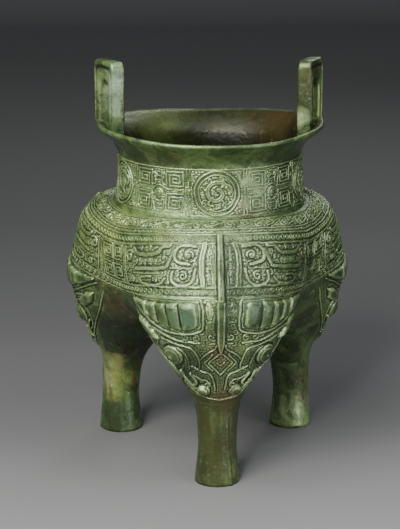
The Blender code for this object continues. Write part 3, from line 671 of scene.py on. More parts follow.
# The band of relief round the neck, cast with the pot: five roundels with a coiled dragon
# inside a double ring, and between them square meanders, hooks and one round boss, in lines
# about 1 mm wide and 1 mm high. A thin line closes the band above and below.
def new_sheet(spots, left, right, low, high):
    """A patch of skin as a regular grid, on which relief is drawn."""
    du, dv = np.gradient(spots, axis=1), np.gradient(spots, axis=0)
    normal = np.cross(du, dv)
    normal /= np.linalg.norm(normal, axis=2, keepdims=True)
    shape = spots.shape[:2]
    # lines are drawn a little unsteadily, and stand a little lower where hands have worn them
    x, y, z = np.moveaxis(spots / MM, 2, 0)
    wobble = np.stack([np.sin(z * 0.61 + y * 0.23) + np.sin(z * 0.27 - y * 0.41 + 2),
                       np.sin(z * 0.53 + x * 0.31 + 1) + np.sin(x * 0.47 - z * 0.19),
                       np.sin(x * 0.37 + y * 0.33) + np.sin(x * 0.81 - y * 0.74 + 4)], 2)
    wear = 0.86 + 0.14 * np.sin(x * 0.21 + z * 0.13 + 1) * np.sin(y * 0.19 - z * 0.17)
    return {"spots": spots, "drawn": spots + wobble * 0.13 * MM, "wear": wear, "normal": normal,
            "left": left, "right": right, "low": low, "high": high,
            "raised": np.zeros(shape), "cut": np.zeros(shape), "cover": np.zeros(shape),
            "across": np.linalg.norm(du, axis=2), "up": np.linalg.norm(dv, axis=2)}


def cell(sheet, u, v):
    """Column and row of the grid for a place in the sheet's own measures."""
    rows, columns = sheet["raised"].shape
    x = (np.asarray(u, float) - sheet["left"]) / (sheet["right"] - sheet["left"]) * (columns - 1)
    y = (np.asarray(v, float) - sheet["low"]) / (sheet["high"] - sheet["low"]) * (rows - 1)
    return x, y


def on_sheet(sheet, path):
    """Points in space for a path in the sheet's own measures."""
    rows, columns = sheet["raised"].shape
    x, y = cell(sheet, *zip(*path))
    i = np.clip(np.floor(x).astype(int), 0, columns - 2)
    j = np.clip(np.floor(y).astype(int), 0, rows - 2)
    s, t = (x - i)[:, None], (y - j)[:, None]
    spots = sheet["spots"]
    return ((spots[j, i] * (1 - s) + spots[j, i + 1] * s) * (1 - t)
            + (spots[j + 1, i] * (1 - s) + spots[j + 1, i + 1] * s) * t)


def block_of(sheet, path, margin):
    """Part of the grid round a path; empty where the path is off the sheet."""
    rows, columns = sheet["raised"].shape
    x, y = cell(sheet, *zip(*path))
    i = int(np.clip(x.mean(), 0, columns - 1))
    j = int(np.clip(y.mean(), 0, rows - 1))
    wide = int(margin * 1.6 / sheet["across"][j, i]) + 2
    tall = int(margin * 1.6 / sheet["up"][j, i]) + 2
    return (slice(max(0, int(y.min()) - tall), max(0, int(y.max()) + tall + 2)),
            slice(max(0, int(x.min()) - wide), max(0, int(x.max()) + wide + 2)))


def gap_to(spots, line):
    """Distance from each grid point to a run of points in space."""
    best = np.full(spots.shape[:2], 1.0)
    for a, b in zip(line, line[1:]):
        way = b - a
        size = max(float(way @ way), 1e-12)
        share = np.clip((spots - a) @ way / size, 0.0, 1.0)[..., None]
        best = np.minimum(best, np.linalg.norm(spots - a - share * way, axis=2))
    return best


def lay(sheet, box, raised, cut, cover):
    """Keep a form where it rises higher, cuts deeper or covers more than what is there."""
    for layer, form in (("raised", raised), ("cut", cut), ("cover", cover)):
        sheet[layer][box] = np.maximum(sheet[layer][box], form)


def stroke(sheet, path, width, height, groove=0.0, moat=0.5):
    """A raised line, rounded at its edges, with a shallow moat and, if asked, a middle groove."""
    box = block_of(sheet, path, width * MM / 2 + 1.5 * MM)
    spots = sheet["drawn"][box]
    if spots.size == 0:
        return
    gap = gap_to(spots, on_sheet(sheet, path)) / MM
    half = width / 2
    form = height * ease((half - gap) / (half * 0.55) + 0.12)
    if groove:
        form -= groove * ease(1.0 - gap / (half * 0.42))
    ring = np.where(gap < half, 0.0, moat * ease(1.0 - np.abs(gap - half - 0.35) / 0.6))
    lay(sheet, box, form, ring, ease((half + 0.7 - gap) / 0.4))


def ribbon(sheet, path, *measures):
    """A stroke with the corners of its path cut twice."""
    for _ in range(2):
        out = [path[0]]
        for (a, b), (c, d) in zip(path, path[1:]):
            out += [(a * 0.75 + c * 0.25, b * 0.75 + d * 0.25), (a * 0.25 + c * 0.75, b * 0.25 + d * 0.75)]
        path = out + [path[-1]]
    stroke(sheet, path, *measures)


def boss(sheet, u, v, radius, height, rings=(), pupil=0.0):
    """A round swelling; rings are the radii of grooves cut in it."""
    box = block_of(sheet, [(u, v)], radius * MM + 2 * MM)
    spots = sheet["drawn"][box]
    if spots.size == 0:
        return
    gap = np.linalg.norm(spots - on_sheet(sheet, [(u, v)])[0], axis=2) / MM
    form = height * np.sqrt(np.clip(1 - (gap / radius) ** 2, 0.0, 1.0))
    for r in rings:
        form -= 0.45 * ease(1 - np.abs(gap - r) / 0.7)
    form += pupil * ease(1.4 - gap / 1.5)
    ring = np.where(gap < radius, 0.0, 0.4 * ease(1 - np.abs(gap - radius - 0.4) / 0.7))
    lay(sheet, box, np.where(gap < radius, form, 0.0), ring, ease((radius + 1.0 - gap) / 0.5))


def pillow(sheet, outline, height, edge=2.2):
    """A cushion over a closed outline, steep at the rim and full in the middle."""
    box = block_of(sheet, outline, 2 * MM)
    spots = sheet["drawn"][box]
    if spots.size == 0:
        return
    loop = outline + outline[:1]
    gap = gap_to(spots, on_sheet(sheet, loop)) / MM
    rows, columns = sheet["raised"].shape
    x, y = cell(sheet, *zip(*loop))
    gy, gx = np.mgrid[box[0].start:min(rows, box[0].stop), box[1].start:min(columns, box[1].stop)]
    inside = np.zeros(gx.shape, bool)
    for k in range(len(loop) - 1):
        crosses = (y[k] > gy) != (y[k + 1] > gy)
        run = (x[k + 1] - x[k]) * (gy - y[k]) / (y[k + 1] - y[k] + 1e-12) + x[k]
        inside ^= crosses & (gx < run)
    form = height * np.sqrt(np.clip(1 - (1 - np.minimum(gap / edge, 1.0)) ** 2, 0.0, 1.0))
    ring = 0.9 * ease(1 - np.abs(gap - 0.5) / 0.85)
    lay(sheet, box, np.where(inside, form, 0.0), np.where(inside, 0.0, ring),
        np.where(inside, 1.0, ease(2.0 - gap / 0.6)))


def size_at(sheet, u, v):
    """Size of one unit of u and of v in mm near a place."""
    rows, columns = sheet["raised"].shape
    x, y = cell(sheet, u, v)
    i, j = int(np.clip(x, 0, columns - 1)), int(np.clip(y, 0, rows - 1))
    return (sheet["across"][j, i] / MM * (columns - 1) / abs(sheet["right"] - sheet["left"]),
            sheet["up"][j, i] / MM * (rows - 1) / (sheet["high"] - sheet["low"]))


def curl(sheet, u, v, outer, inner, start, turns, side=1):
    """Path of a spiral that starts at the outside; angles in degrees, sizes in mm."""
    wide, tall = size_at(sheet, u, v)
    steps = max(6, int(abs(turns) * (14 + 1.6 * outer)))
    path = []
    for k in range(steps + 1):
        share = k / steps
        a = math.radians(start + 360 * turns * share)
        r = outer + (inner - outer) * share
        path.append((u + side * r * math.cos(a) / wide, v + r * math.sin(a) / tall))
    return path


def square_curl(sheet, u, v, width, height, pitch, side=1, flip=1):
    """Path of a square spiral that winds into the middle of a box of the given size in mm."""
    wide, tall = size_at(sheet, u, v)
    path = [(-width / 2, -height / 2)]
    x0, x1, y0, y1 = -width / 2, width / 2, -height / 2, height / 2
    while x1 - x0 > pitch * 0.9 and y1 - y0 > pitch * 0.9:
        path += [(x1, y0), (x1, y1), (x0, y1)]
        y0 += pitch
        path.append((x0, y0))
        x0, x1, y1 = x0 + pitch, x1 - pitch, y1 - pitch
    return [(u + side * a / wide, v + flip * b / tall) for a, b in path]


def ground(sheet, u_size, v_size, pitch, height, inside):
    """Fine thunder pattern: small square spirals packed over the free ground."""
    rows, columns = sheet["raised"].shape
    u = np.linspace(sheet["left"], sheet["right"], columns)[None, :]
    v = np.linspace(sheet["low"], sheet["high"], rows)[:, None]
    row = np.floor(v / v_size)
    x = ((u / u_size + 0.5 * (row % 2)) % 1.0 - 0.5) * 2
    y = ((v / v_size) % 1.0 - 0.5) * 2
    reach = np.maximum(np.abs(x), np.abs(y))
    turn = (np.arctan2(y, x) / (2 * np.pi)) % 1.0
    wave = np.cos(2 * np.pi * (reach * pitch + turn)) * 0.5 + 0.5
    return height * ease(wave * 1.6 - 0.3) * (1 - sheet["cover"]) * inside


def blur(values, reach):
    """Mean over a square of cells round each cell."""
    for axis in (0, 1):
        padded = np.concatenate([np.take(values, [0] * (reach + 1), axis), values,
                                 np.take(values, [-1] * reach, axis)], axis)
        total = np.cumsum(padded, axis)
        size = values.shape[axis]
        upper = np.take(total, range(2 * reach + 1, 2 * reach + 1 + size), axis)
        values = (upper - np.take(total, range(size), axis)) / (2 * reach + 1)
    return values


def sheet_piece(sheet, name, base, fine, borders, closed=False):
    """Lift the grid by its relief, sink its borders under the skin and make the piece.

    A border is the side's first letter (bottom, top, left, right) and its width in cells.
    """
    height = base + sheet["raised"] * sheet["wear"] - sheet["cut"] * (sheet["raised"] < 0.15) + fine
    edge = np.ones(height.shape)
    rows, columns = height.shape
    for where, cells in borders:
        ramp = np.arange(rows if where in "bt" else columns) / cells
        ramp = ease(ramp[::-1] if where in "tr" else ramp)
        edge = np.minimum(edge, ramp[:, None] if where in "bt" else ramp[None, :])
    height = height * edge - (1 - edge)
    height = blur(height, 1) * 0.35 + height * 0.65
    # pale where an edge stands over its close neighbours, as wear and painted highlight, and dark
    # where a place lies in a hollow, as dirt and painted shade
    hollow = height - blur(height, 4)
    edge_light = np.clip((height - blur(height, 2)) * 2.6, 0.0, 0.5)
    crest = np.clip(0.5 + edge_light + np.clip(hollow * 1.35 + 0.05, -0.5, 0.0), 0.0, 1.0)
    spots = sheet["spots"] + sheet["normal"] * (height * MM)[..., None]
    if closed:
        spots, crest = spots[:, :-1], crest[:, :-1]
        columns -= 1
    data = bpy.data.meshes.new(name)
    index = np.arange(rows * columns).reshape(rows, columns)
    right = np.roll(index, -1, 1)
    quads = np.stack([index[:-1], right[:-1], right[1:], index[1:]], -1)
    if not closed:
        quads = quads[:, :-1]
    quads = quads.reshape(-1, 4)
    data.vertices.add(rows * columns)
    flat = spots.reshape(-1, 3) + np.array((0, AXIS_BEHIND, 0))
    data.vertices.foreach_set("co", flat.ravel())
    data.loops.add(len(quads) * 4)
    data.loops.foreach_set("vertex_index", quads.ravel())
    data.polygons.add(len(quads))
    data.polygons.foreach_set("loop_start", np.arange(len(quads)) * 4)
    data.polygons.foreach_set("loop_total", np.full(len(quads), 4))
    data.update(calc_edges=True)
    join_piece(data, name, crest.ravel())


def neck_skin(angle, height):
    """Places on the outside of the neck."""
    straight = NECK_TOP - 16 * MM
    knee = NECK_BASE + 7 * MM
    radius = np.interp(height, [NECK_BASE, knee, straight, NECK_TOP - 4 * MM, NECK_TOP + 1.2 * MM],
                       [NECK_BASE_RADIUS, NECK_RADIUS + 1.3 * MM, NECK_RADIUS, NECK_RADIUS,
                        NECK_RADIUS + 0.25 * MM])
    return polar(FRONT + angle, radius, height)


NECK_LOW, NECK_HIGH = 182.5, 216.6
columns, rows = 1021, 84
turns, heights = np.meshgrid(np.linspace(-180, 180, columns), np.linspace(NECK_LOW, NECK_HIGH, rows))
neck = new_sheet(neck_skin(turns, heights * MM), -180, 180, NECK_LOW, NECK_HIGH)
for height, width in ((215.4, 1.3), (183.6, 1.2)):
    stroke(neck, [(u, height) for u in range(-184, 185, 4)], width, 0.7)
for middle in range(-144, 145, 72):
    for radius, width in ((15.0, 1.7), (12.3, 1.3)):
        stroke(neck, curl(neck, middle, 199.4, radius, radius, 0, 1.0), width, 0.95, moat=0.45)
    # the dragon: a grooved coil, its head, little curls round it and two feet
    stroke(neck, curl(neck, middle, 199.2, 8.6, 2.6, 20, 1.12), 3.4, 1.15, groove=0.45, moat=0.45)
    boss(neck, middle + 5.6, 203.4, 1.9, 1.6, rings=(1.0,), pupil=0.3)
    for a, r in ((75, 2.2), (120, 1.6), (165, 2.0), (215, 1.6), (255, 2.2), (300, 1.7), (335, 2.0)):
        wide, tall = size_at(neck, middle, 199.2)
        u = middle + 10.2 * math.cos(math.radians(a)) / wide
        v = 199.2 + 10.2 * math.sin(math.radians(a)) / tall
        stroke(neck, curl(neck, u, v, r, 0.5, a + 180, 0.8), 1.0, 0.8)
    for width, height, path in ((2.6, 1.3, ((3.2, 203.4), (6.5, 205.6), (9.2, 202.6), (7.4, 199.0))),
                                (1.7, 1.0, ((-2.5, 196.5), (-6.0, 191.8), (-2.0, 190.6))),
                                (1.5, 1.0, ((2.5, 194.6), (5.4, 191.2), (8.6, 193.4)))):
        ribbon(neck, [(middle + u, v) for u, v in path], width, height)
    for side in (-1, 1):
        def at(u, v):
            return middle + side * u, v
        for u, width, height in ((16.2, 1.1, 0.8), (18.2, 1.0, 0.7)):
            stroke(neck, [at(u, 184.5), at(u, 214.6)], width, height)
        for v, flip in ((206.9, 1), (192.0, -1)):
            stroke(neck, square_curl(neck, *at(25.6, v), 12.0, 12.0, 2.3, side, flip), 1.15, 0.85)
        stroke(neck, curl(neck, *at(33.2, 209.3), 2.6, 0.9, 200, -0.9, side), 1.2, 0.85)
        ribbon(neck, [at(32.6, 212.2), at(34.2, 204.5), at(31.6, 203.2)], 1.2, 0.85)
        ribbon(neck, [at(31.8, 191.6), at(33.2, 186.0), at(35.6, 185.4)], 1.2, 0.85)
        stroke(neck, curl(neck, *at(32.6, 194.6), 2.5, 0.8, 90, 1.1, side), 1.1, 0.85)
    eye = middle + 36.0
    boss(neck, eye, 197.8, 3.6, 1.5, rings=(2.2,))
    stroke(neck, curl(neck, eye, 197.8, 5.6, 5.6, 20, 0.9), 1.0, 0.7)
    for v in (206.6, 209.4, 212.2, 187.6, 190.2):
        stroke(neck, [(eye - 2.0, v), (eye + 2.0, v)], 1.0, 0.7)
inside = ease((heights - 184.0) / 1.5) * ease((214.8 - heights) / 1.5)
# right of the front roundel the relief is worn nearly flat
worn_patch = 1 - 0.75 * np.exp(-((turns - 25) / 9) ** 2 - ((heights - 205) / 15) ** 2)
neck["raised"] *= worn_patch
fine = ground(neck, 4.0, 4.6, 1.5, 0.6, inside) * worn_patch
sheet_piece(neck, "neck_band", 0.22, fine, (("b", 4), ("t", 4)), closed=True)


# The broad band on the shoulder, part of the same casting: a scroll row under the neck, two
# rows of little rings and between them, on each lobe, two dragons face to face across a
# stout flange. The bodies are ribbons about 3 mm wide over a ground of thunder pattern.
def spread_out(coarse, rows, columns):
    """Widen a coarse grid of points to a finer one, straight between its points."""
    for axis, count in ((0, rows), (1, columns)):
        place = np.linspace(0, coarse.shape[axis] - 1, count)
        low = np.clip(np.floor(place).astype(int), 0, coarse.shape[axis] - 2)
        share = place - low
        share = share[:, None, None] if axis == 0 else share[None, :, None]
        coarse = np.take(coarse, low, axis) * (1 - share) + np.take(coarse, low + 1, axis) * share
    return coarse


def skin_grid(origin, heading, near, far, rows, columns):
    """Where straight lines leave the skin, worked out on a coarse grid and then refined."""
    flat_origin, flat_heading = origin.reshape(-1, 3), heading.reshape(-1, 3)
    low = np.full(len(flat_origin), near)
    for reach in np.linspace(near, far, 26):
        within_skin = field(flat_origin + flat_heading * reach) < 0
        still = low >= reach - (far - near) / 25 - 1e-9
        low = np.where(within_skin & still, reach, low)
    high = low + (far - near) / 25
    for _ in range(12):
        mid = (low + high) / 2
        within_skin = field(flat_origin + flat_heading * mid[:, None]) < 0
        low, high = np.where(within_skin, mid, low), np.where(within_skin, high, mid)
    found = (flat_origin + flat_heading * low[:, None]).reshape(origin.shape)
    wide = spread_out(found, rows, columns)
    return settle(wide.reshape(-1, 3), 0.0, 2).reshape(wide.shape)


# The band lies on cones from one point on the axis, so a row is a slope on them.
FAN_HEIGHT = 102.0 * MM
FAN_LOW, FAN_HIGH = 0.295, 1.185
DRAGONS_LOW, DRAGONS_TALL = 0.41, 0.35
DEGREE = 1.65                  # about 1.65 mm of skin to a degree, by the flange
FLANGE_WIDTH = 4.6
FLANGE_HEIGHT = 3.6
EDGE_LINES = ((1.115, 1.2, 0.6), (0.925, 1.1, 0.6), (0.855, 1.4, 0.8), (0.757, 1.5, 0.85),
              (0.418, 1.5, 0.85), (0.347, 1.6, 0.9))
# half of the pair of dragons: width, height and groove of a line, then its path as degrees
# from the flange and share of the band's height
DRAGON_RIBBONS = (
    (4.4, 1.0, 0.45, ((6.0, 0.99), (7.6, 0.6), (6.6, 0.05))),
    (2.6, 1.25, 0.4, ((9.5, 0.92), (15.5, 0.97), (18.5, 0.78), (18.0, 0.55), (12.0, 0.50))),
    (2.3, 1.2, 0.35, ((9.6, 0.40), (10.4, 0.10), (15.0, 0.03), (19.4, 0.12), (19.0, 0.34))),
    (3.0, 1.15, 0.45, ((18.5, 0.82), (21.0, 0.52), (21.4, 0.42), (38.5, 0.40))),
    (3.0, 1.15, 0.45, ((20.5, 0.93), (24.5, 0.93), (26.5, 0.72), (38.0, 0.74), (40.5, 0.88))),
    (1.9, 1.0, 0.0, ((22.0, 0.20), (24.0, 0.05), (34.0, 0.06), (35.5, 0.22), (29.0, 0.24))),
    (1.6, 0.9, 0.0, ((45.5, 0.06), (47.4, 0.30), (47.4, 0.92))),
    (1.1, 0.75, 0.0, ((24.5, 0.31), (31.0, 0.30), (40.5, 0.31))),
)
# place, outer and inner radius, first angle, turns, then width and height of the line
DRAGON_CURLS = (
    (12.6, 0.71, 3.4, 0.8, 200, -1.25, 1.7, 1.3), (14.4, 0.25, 3.2, 0.8, 60, 1.2, 1.6, 1.2),
    (43.6, 0.70, 4.2, 0.9, 150, -1.3, 1.9, 1.2), (40.5, 0.19, 2.7, 0.8, 180, 1.2, 1.6, 1.0),
)
SMALL_CURLS = ((27.0, 0.575, 1.9), (32.6, 0.575, 1.9), (38.0, 0.575, 1.7), (30.5, 0.90, 1.6),
               (35.5, 0.90, 1.6), (23.2, 0.66, 1.4), (45.0, 0.40, 2.0), (43.0, 0.94, 1.2))
WHOLE = slice(None)
rows, columns = 124, 372
ring_spots, ring_facing = [], []
for lobe, name in zip(LOBES, ("front", "right", "left")):
    turns, slopes = np.meshgrid(np.linspace(-60, 60, 94), np.linspace(FAN_LOW, FAN_HIGH, 64))
    origin = np.broadcast_to(np.array((0.0, 0.0, FAN_HEIGHT)), turns.shape + (3,)).copy()
    heading = polar(lobe + turns, 1.0, slopes)
    shoulder = new_sheet(skin_grid(origin, heading, 30 * MM, 125 * MM, rows, columns),
                         -60, 60, FAN_LOW, FAN_HIGH)
    for slope, width, height in EDGE_LINES:
        stroke(shoulder, [(u, slope) for u in range(-64, 65, 2)], width, height)
    for u in range(-60, 61, 15):
        stroke(shoulder, curl(shoulder, u - 2.5, 1.045, 3.4, 0.9, 270, 1.1), 1.2, 0.75)
        stroke(shoulder, curl(shoulder, u + 5.0, 0.99, 3.2, 0.9, 90, 1.1), 1.2, 0.75)
        ribbon(shoulder, [(u - 6, 0.965), (u - 1, 1.0), (u + 3, 1.06), (u + 8, 1.08)], 1.1, 0.7)
    for side in (-1, 1):
        def at(u, w):
            return side * u, DRAGONS_LOW + DRAGONS_TALL * w
        for width, height, groove, path in DRAGON_RIBBONS:
            ribbon(shoulder, [at(u, w) for u, w in path], width, height, groove)
        for u, w, outer, inner, start, rounds, width, height in DRAGON_CURLS:
            stroke(shoulder, curl(shoulder, *at(u, w), outer, inner, start, rounds, side), width, height)
        for u, w, r in SMALL_CURLS:
            stroke(shoulder, curl(shoulder, *at(u, w), r, 0.5, 250, 1.1, side), 1.1, 0.8, moat=0.4)
        boss(shoulder, *at(13.2, 0.71), 1.7, 1.6, pupil=0.3)
        stroke(shoulder, [at(50.4, 0.03), at(50.4, 0.97)], 1.5, 0.9)
        stroke(shoulder, [at(2.9, 0.04), at(2.9, 0.97)], 0.9, 0.6)
        for w in (0.26, 0.74):
            square = square_curl(shoulder, *at(55.6, w), 10.5, 10.5, 2.4, side, -side)
            stroke(shoulder, square, 1.25, 0.9)
    u, v = np.meshgrid(np.linspace(-60, 60, columns), np.linspace(FAN_LOW, FAN_HIGH, rows))
    inside = (ease((v - 0.425) / 0.02) * ease((0.75 - v) / 0.02)
              + ease((v - 0.865) / 0.02) * ease((1.11 - v) / 0.02))
    fine = ground(shoulder, 2.86, 0.055, 1.5, 0.65, inside)
    half = FLANGE_WIDTH / 2
    off_middle = np.abs(u) * DEGREE
    stand = (ease((0.86 - v) / 0.02) * (FLANGE_HEIGHT - 0.45)
             * ease((half * 1.1 - off_middle) / (half * 0.4)))
    moat = 0.5 * ease(1 - np.abs(off_middle - half - 0.9) / 0.9) * (v < 0.85)
    lay(shoulder, WHOLE, stand, moat, 0.0)
    fine = np.where(off_middle < half + 1.5, 0.0, fine)
    sheet_piece(shoulder, "shoulder_band_" + name, 0.2, fine, (("b", 4), ("t", 4)))
    for slope, count in ((0.806, 42), (0.383, 44)):
        for k in range(count):
            u = (k + 0.5) / count * 120 - 60
            if abs(u) < 2.6:
                continue
            x, y = cell(shoulder, u, slope)
            ring_spots.append(on_sheet(shoulder, [(u, slope)])[0])
            ring_facing.append(shoulder["normal"][int(y), int(x)])


# The little rings of the two rows on the shoulder, about 3 mm across and cast with the
# pot. A thin round ring stands on each place and is turned to face out of the skin.
ring_data = bpy.data.meshes.new("ring rows")
ring_data.vertices.add(len(ring_spots))
ring_spots = np.array(ring_spots) + np.array((0, AXIS_BEHIND, 0)) + np.array(ring_facing) * 0.25 * MM
ring_data.vertices.foreach_set("co", ring_spots.ravel())
facing_layer = ring_data.attributes.new("facing", "FLOAT_VECTOR", "POINT")
facing_layer.data.foreach_set("vector", np.array(ring_facing).ravel())
ring_rows = bpy.data.objects.new("ring rows", ring_data)
bpy.context.scene.collection.objects.link(ring_rows)
rows_tree = bpy.data.node_groups.new("ring rows", "GeometryNodeTree")
rows_tree.interface.new_socket("Geometry", in_out="INPUT", socket_type="NodeSocketGeometry")
for label, value in (("Ring radius", 1.45 * MM), ("Line thickness", 0.46 * MM)):
    socket = rows_tree.interface.new_socket(label, in_out="INPUT", socket_type="NodeSocketFloat")
    socket.default_value = value
rows_tree.interface.new_socket("Geometry", in_out="OUTPUT", socket_type="NodeSocketGeometry")
entry, leave, to_points, ring_line, ring_section, ring_solid, facing, aim, stand_on, real = [
    rows_tree.nodes.new(kind) for kind in (
        "NodeGroupInput", "NodeGroupOutput", "GeometryNodeMeshToPoints",
        "GeometryNodeCurvePrimitiveCircle", "GeometryNodeCurvePrimitiveCircle",
        "GeometryNodeCurveToMesh", "GeometryNodeInputNamedAttribute",
        "FunctionNodeAlignRotationToVector", "GeometryNodeInstanceOnPoints",
        "GeometryNodeRealizeInstances")]
ring_line.inputs["Resolution"].default_value = 12
ring_section.inputs["Resolution"].default_value = 5
facing.data_type = "FLOAT_VECTOR"
facing.inputs["Name"].default_value = "facing"
aim.axis = "Z"
for giver, output, taker, entrance in (
        (entry, "Geometry", to_points, "Mesh"), (entry, "Ring radius", ring_line, "Radius"),
        (entry, "Line thickness", ring_section, "Radius"), (ring_line, "Curve", ring_solid, "Curve"),
        (ring_section, "Curve", ring_solid, "Profile Curve"), (facing, "Attribute", aim, "Vector"),
        (to_points, "Points", stand_on, "Points"), (ring_solid, "Mesh", stand_on, "Instance"),
        (aim, "Rotation", stand_on, "Rotation"), (stand_on, "Instances", real, "Geometry"),
        (real, "Geometry", leave, "Geometry")):
    rows_tree.links.new(giver.outputs[output], taker.inputs[entrance])
ring_rows.modifiers.new("rings", "NODES").node_group = rows_tree
grown = bpy.data.meshes.new_from_object(ring_rows.evaluated_get(bpy.context.evaluated_depsgraph_get()))
bpy.data.objects.remove(ring_rows)
# the nodes leave an empty slot, which would take the place of the bronze
grown.materials.clear()
join_piece(grown, "shoulder_rings", 0.78)


# The beast mask of each lobe, part of the same casting: ringed horns in swelling joints, a
# nose ridge, brows, round eyes, lozenges on the nose and a snout with two nostrils, above
# a lip that ends on the leg.
# joints of a horn from the nose outwards: degrees from the middle, top, bottom, rise, edge
HORN_JOINTS = (
    (16.3, 135.4, 117.6, 3.5, 5.0), (28.5, 134.4, 115.4, 3.0, 3.8), (38.3, 132.9, 115.9, 3.0, 3.4),
    (47.2, 131.9, 117.6, 3.2, 3.2), (56.6, 131.0, 120.6, 2.8, 2.6), (77.0, 130.2, 127.2, 0.0, 0.0),
)
# width and height of a line, then its path as degrees from the middle and height in mm
MASK_RIBBONS = (
    # frame of the horn, the brow line and the drop beside the nose
    (1.7, 1.3, ((13.2, 136.5), (12.4, 134.0), (12.4, 120.0), (14.0, 115.6), (24.0, 112.9), (40.0, 112.2),
                (53.0, 115.2), (66.0, 120.6), (79.0, 126.5))),
    (1.3, 0.8, ((13.5, 137.2), (30.0, 136.6), (57.0, 133.4), (80.0, 131.4))),
    (1.1, 0.8, ((7.0, 124.5), (5.6, 129.5), (7.0, 134.8), (9.0, 134.8), (10.2, 129.5), (8.8, 124.2),
                (7.0, 124.5))),
    (1.1, 0.85, ((4.9, 109.8), (8.6, 109.8), (9.6, 112.2), (7.0, 113.2))),
    (1.7, 1.4, ((70.0, 113.6), (60.0, 113.4), (50.6, 111.4), (42.0, 109.0), (34.6, 107.2), (17.1, 107.0))),
    # lids and cheeks
    (1.5, 1.3, ((52.0, 107.0), (41.0, 105.0), (32.0, 103.8), (24.0, 102.6), (21.0, 98.0), (20.0, 91.0),
                (22.5, 86.8), (29.0, 86.0))),
    (1.3, 1.0, ((38.5, 101.8), (33.0, 99.0), (31.0, 92.0), (34.0, 86.5))),
    (1.4, 1.1, ((59.0, 104.0), (66.0, 99.0), (66.0, 88.0), (55.0, 82.0))),
    (1.3, 1.1, ((3.6, 106.0), (4.4, 103.2), (10.0, 100.6), (14.5, 98.0), (18.5, 94.8))),
    # muzzle and jaw
    (1.5, 1.35, ((30.0, 89.0), (20.0, 85.6), (12.0, 84.6), (8.0, 81.0), (7.2, 72.0))),
    (1.3, 1.0, ((33.0, 82.0), (24.0, 78.5), (17.0, 79.5), (14.5, 75.0))),
    (2.6, 2.6, ((48.0, 84.0), (42.0, 76.0), (36.0, 72.5))),
    (2.2, 2.4, ((62.0, 92.0), (54.0, 84.5), (52.0, 78.0), (58.0, 77.0))),
    (2.0, 2.2, ((36.0, 83.0), (31.0, 79.0), (31.0, 75.5), (35.0, 75.0))),
    # border line, down to the lip on the leg
    (1.5, 1.2, ((86.0, 121.0), (82.0, 107.0), (74.0, 94.0), (62.0, 81.0), (46.0, 69.6), (38.0, 66.4),
                (26.0, 64.4), (0.0, 63.6))),
)
MASK_LINES = (
    (1.1, 0.8, ((5.2, 107.2), (9.2, 106.8))),
    (1.0, 2.9, ((61.0, 108.0), (69.0, 112.2))),
    (1.4, 1.2, ((0.0, 100.4), (11.5, 92.8), (0.0, 83.2))),
    (1.3, 1.1, ((7.0, 99.0), (15.5, 92.6), (7.6, 86.2))),
    (1.1, 0.9, ((3.6, 92.8), (0.0, 90.2))),
)
# rise and edge of a cushion, then its outline: the drop beside the nose, and the ear
MASK_PILLOWS = (
    (1.3, 1.6, ((7.0, 125.5), (8.6, 125.2), (9.6, 129.5), (8.4, 134.0), (7.2, 134.0), (6.2, 129.5))),
    (3.6, 3.0, ((55.5, 105.0), (63.0, 104.4), (73.5, 109.5), (76.0, 118.0), (68.0, 117.2), (58.5, 111.5))),
)
MASK_LOW, MASK_HIGH = 56.5, 138.6
rows, columns = 172, 330
for lobe, name in zip(LOBES, ("front", "right", "left")):
    turns, heights = np.meshgrid(np.linspace(-88, 88, 84), np.linspace(MASK_LOW, MASK_HIGH, 84))
    origin = polar(lobe, along(1, heights * MM), heights * MM)
    heading = polar(lobe + turns, 1.0, 0.0 * turns)
    face = new_sheet(skin_grid(origin, heading, 4 * MM, 84 * MM, rows, columns), -88, 88,
                     MASK_LOW, MASK_HIGH)
    u, v = np.meshgrid(np.linspace(-88, 88, columns), np.linspace(MASK_LOW, MASK_HIGH, rows))
    half = 3.4 * ease((137.9 - v) / 2.0) * ease((v - 94) / 14)
    ridge = 1.9 * ease((half - np.abs(u)) / 1.6 + 0.15) * (half > 0.2)
    lay(face, WHOLE, ridge, 0.0, ease(ridge / 0.3))
    for side in (-1, 1):
        def mirrored(path):
            return [(side * a, z) for a, z in path]
        for k, (a, b) in enumerate(zip(HORN_JOINTS, HORN_JOINTS[1:])):
            first, last = a[0] + 0.25, b[0] - 0.25
            corner = 2.2 if k == 0 else 0.9
            pillow(face, mirrored(((first + corner, a[2]), (last - 0.9, b[2] + 0.3), (last, b[2] + 1.4),
                                   (last, b[1] - 1.4), (last - 0.9, b[1] - 0.3), (first + corner, a[1]),
                                   (first, a[1] - corner), (first, a[2] + corner))), *a[3:])
        for rise, edge, outline in MASK_PILLOWS:
            pillow(face, mirrored(outline), rise, edge)
        for width, height, path in MASK_RIBBONS:
            ribbon(face, mirrored(path), width, height)
        for width, height, path in MASK_LINES:
            stroke(face, mirrored(path), width, height)
        for a, way in ((19.5, side), (27.5, -side)):
            stroke(face, curl(face, side * a, 110.4, 2.7, 0.8, 90, 1.15, way), 1.2, 0.95)
        stroke(face, curl(face, side * 17.5, 75.5, 2.4, 0.7, 120, 1.0, side), 1.1, 0.9)
        boss(face, side * 47.0, 95.2, 7.9, 4.6, rings=(6.4,), pupil=0.6)
        boss(face, side * 26.0, 70.8, 4.9, 4.2, rings=(3.9,))
    snout = 1.3 * np.exp(-(u / 20) ** 2 - ((v - 71) / 7) ** 2)
    inside = ease((v - 64.0) / 2.0) * ease((136.5 - v) / 1.5) * ease((78 - np.abs(u)) / 8) * 0.8
    fine = ground(face, 5.0, 4.2, 1.5, 0.42, inside) + snout
    sheet_piece(face, "mask_" + name, 0.2, fine, (("b", 7), ("t", 3), ("l", 9), ("r", 9)))


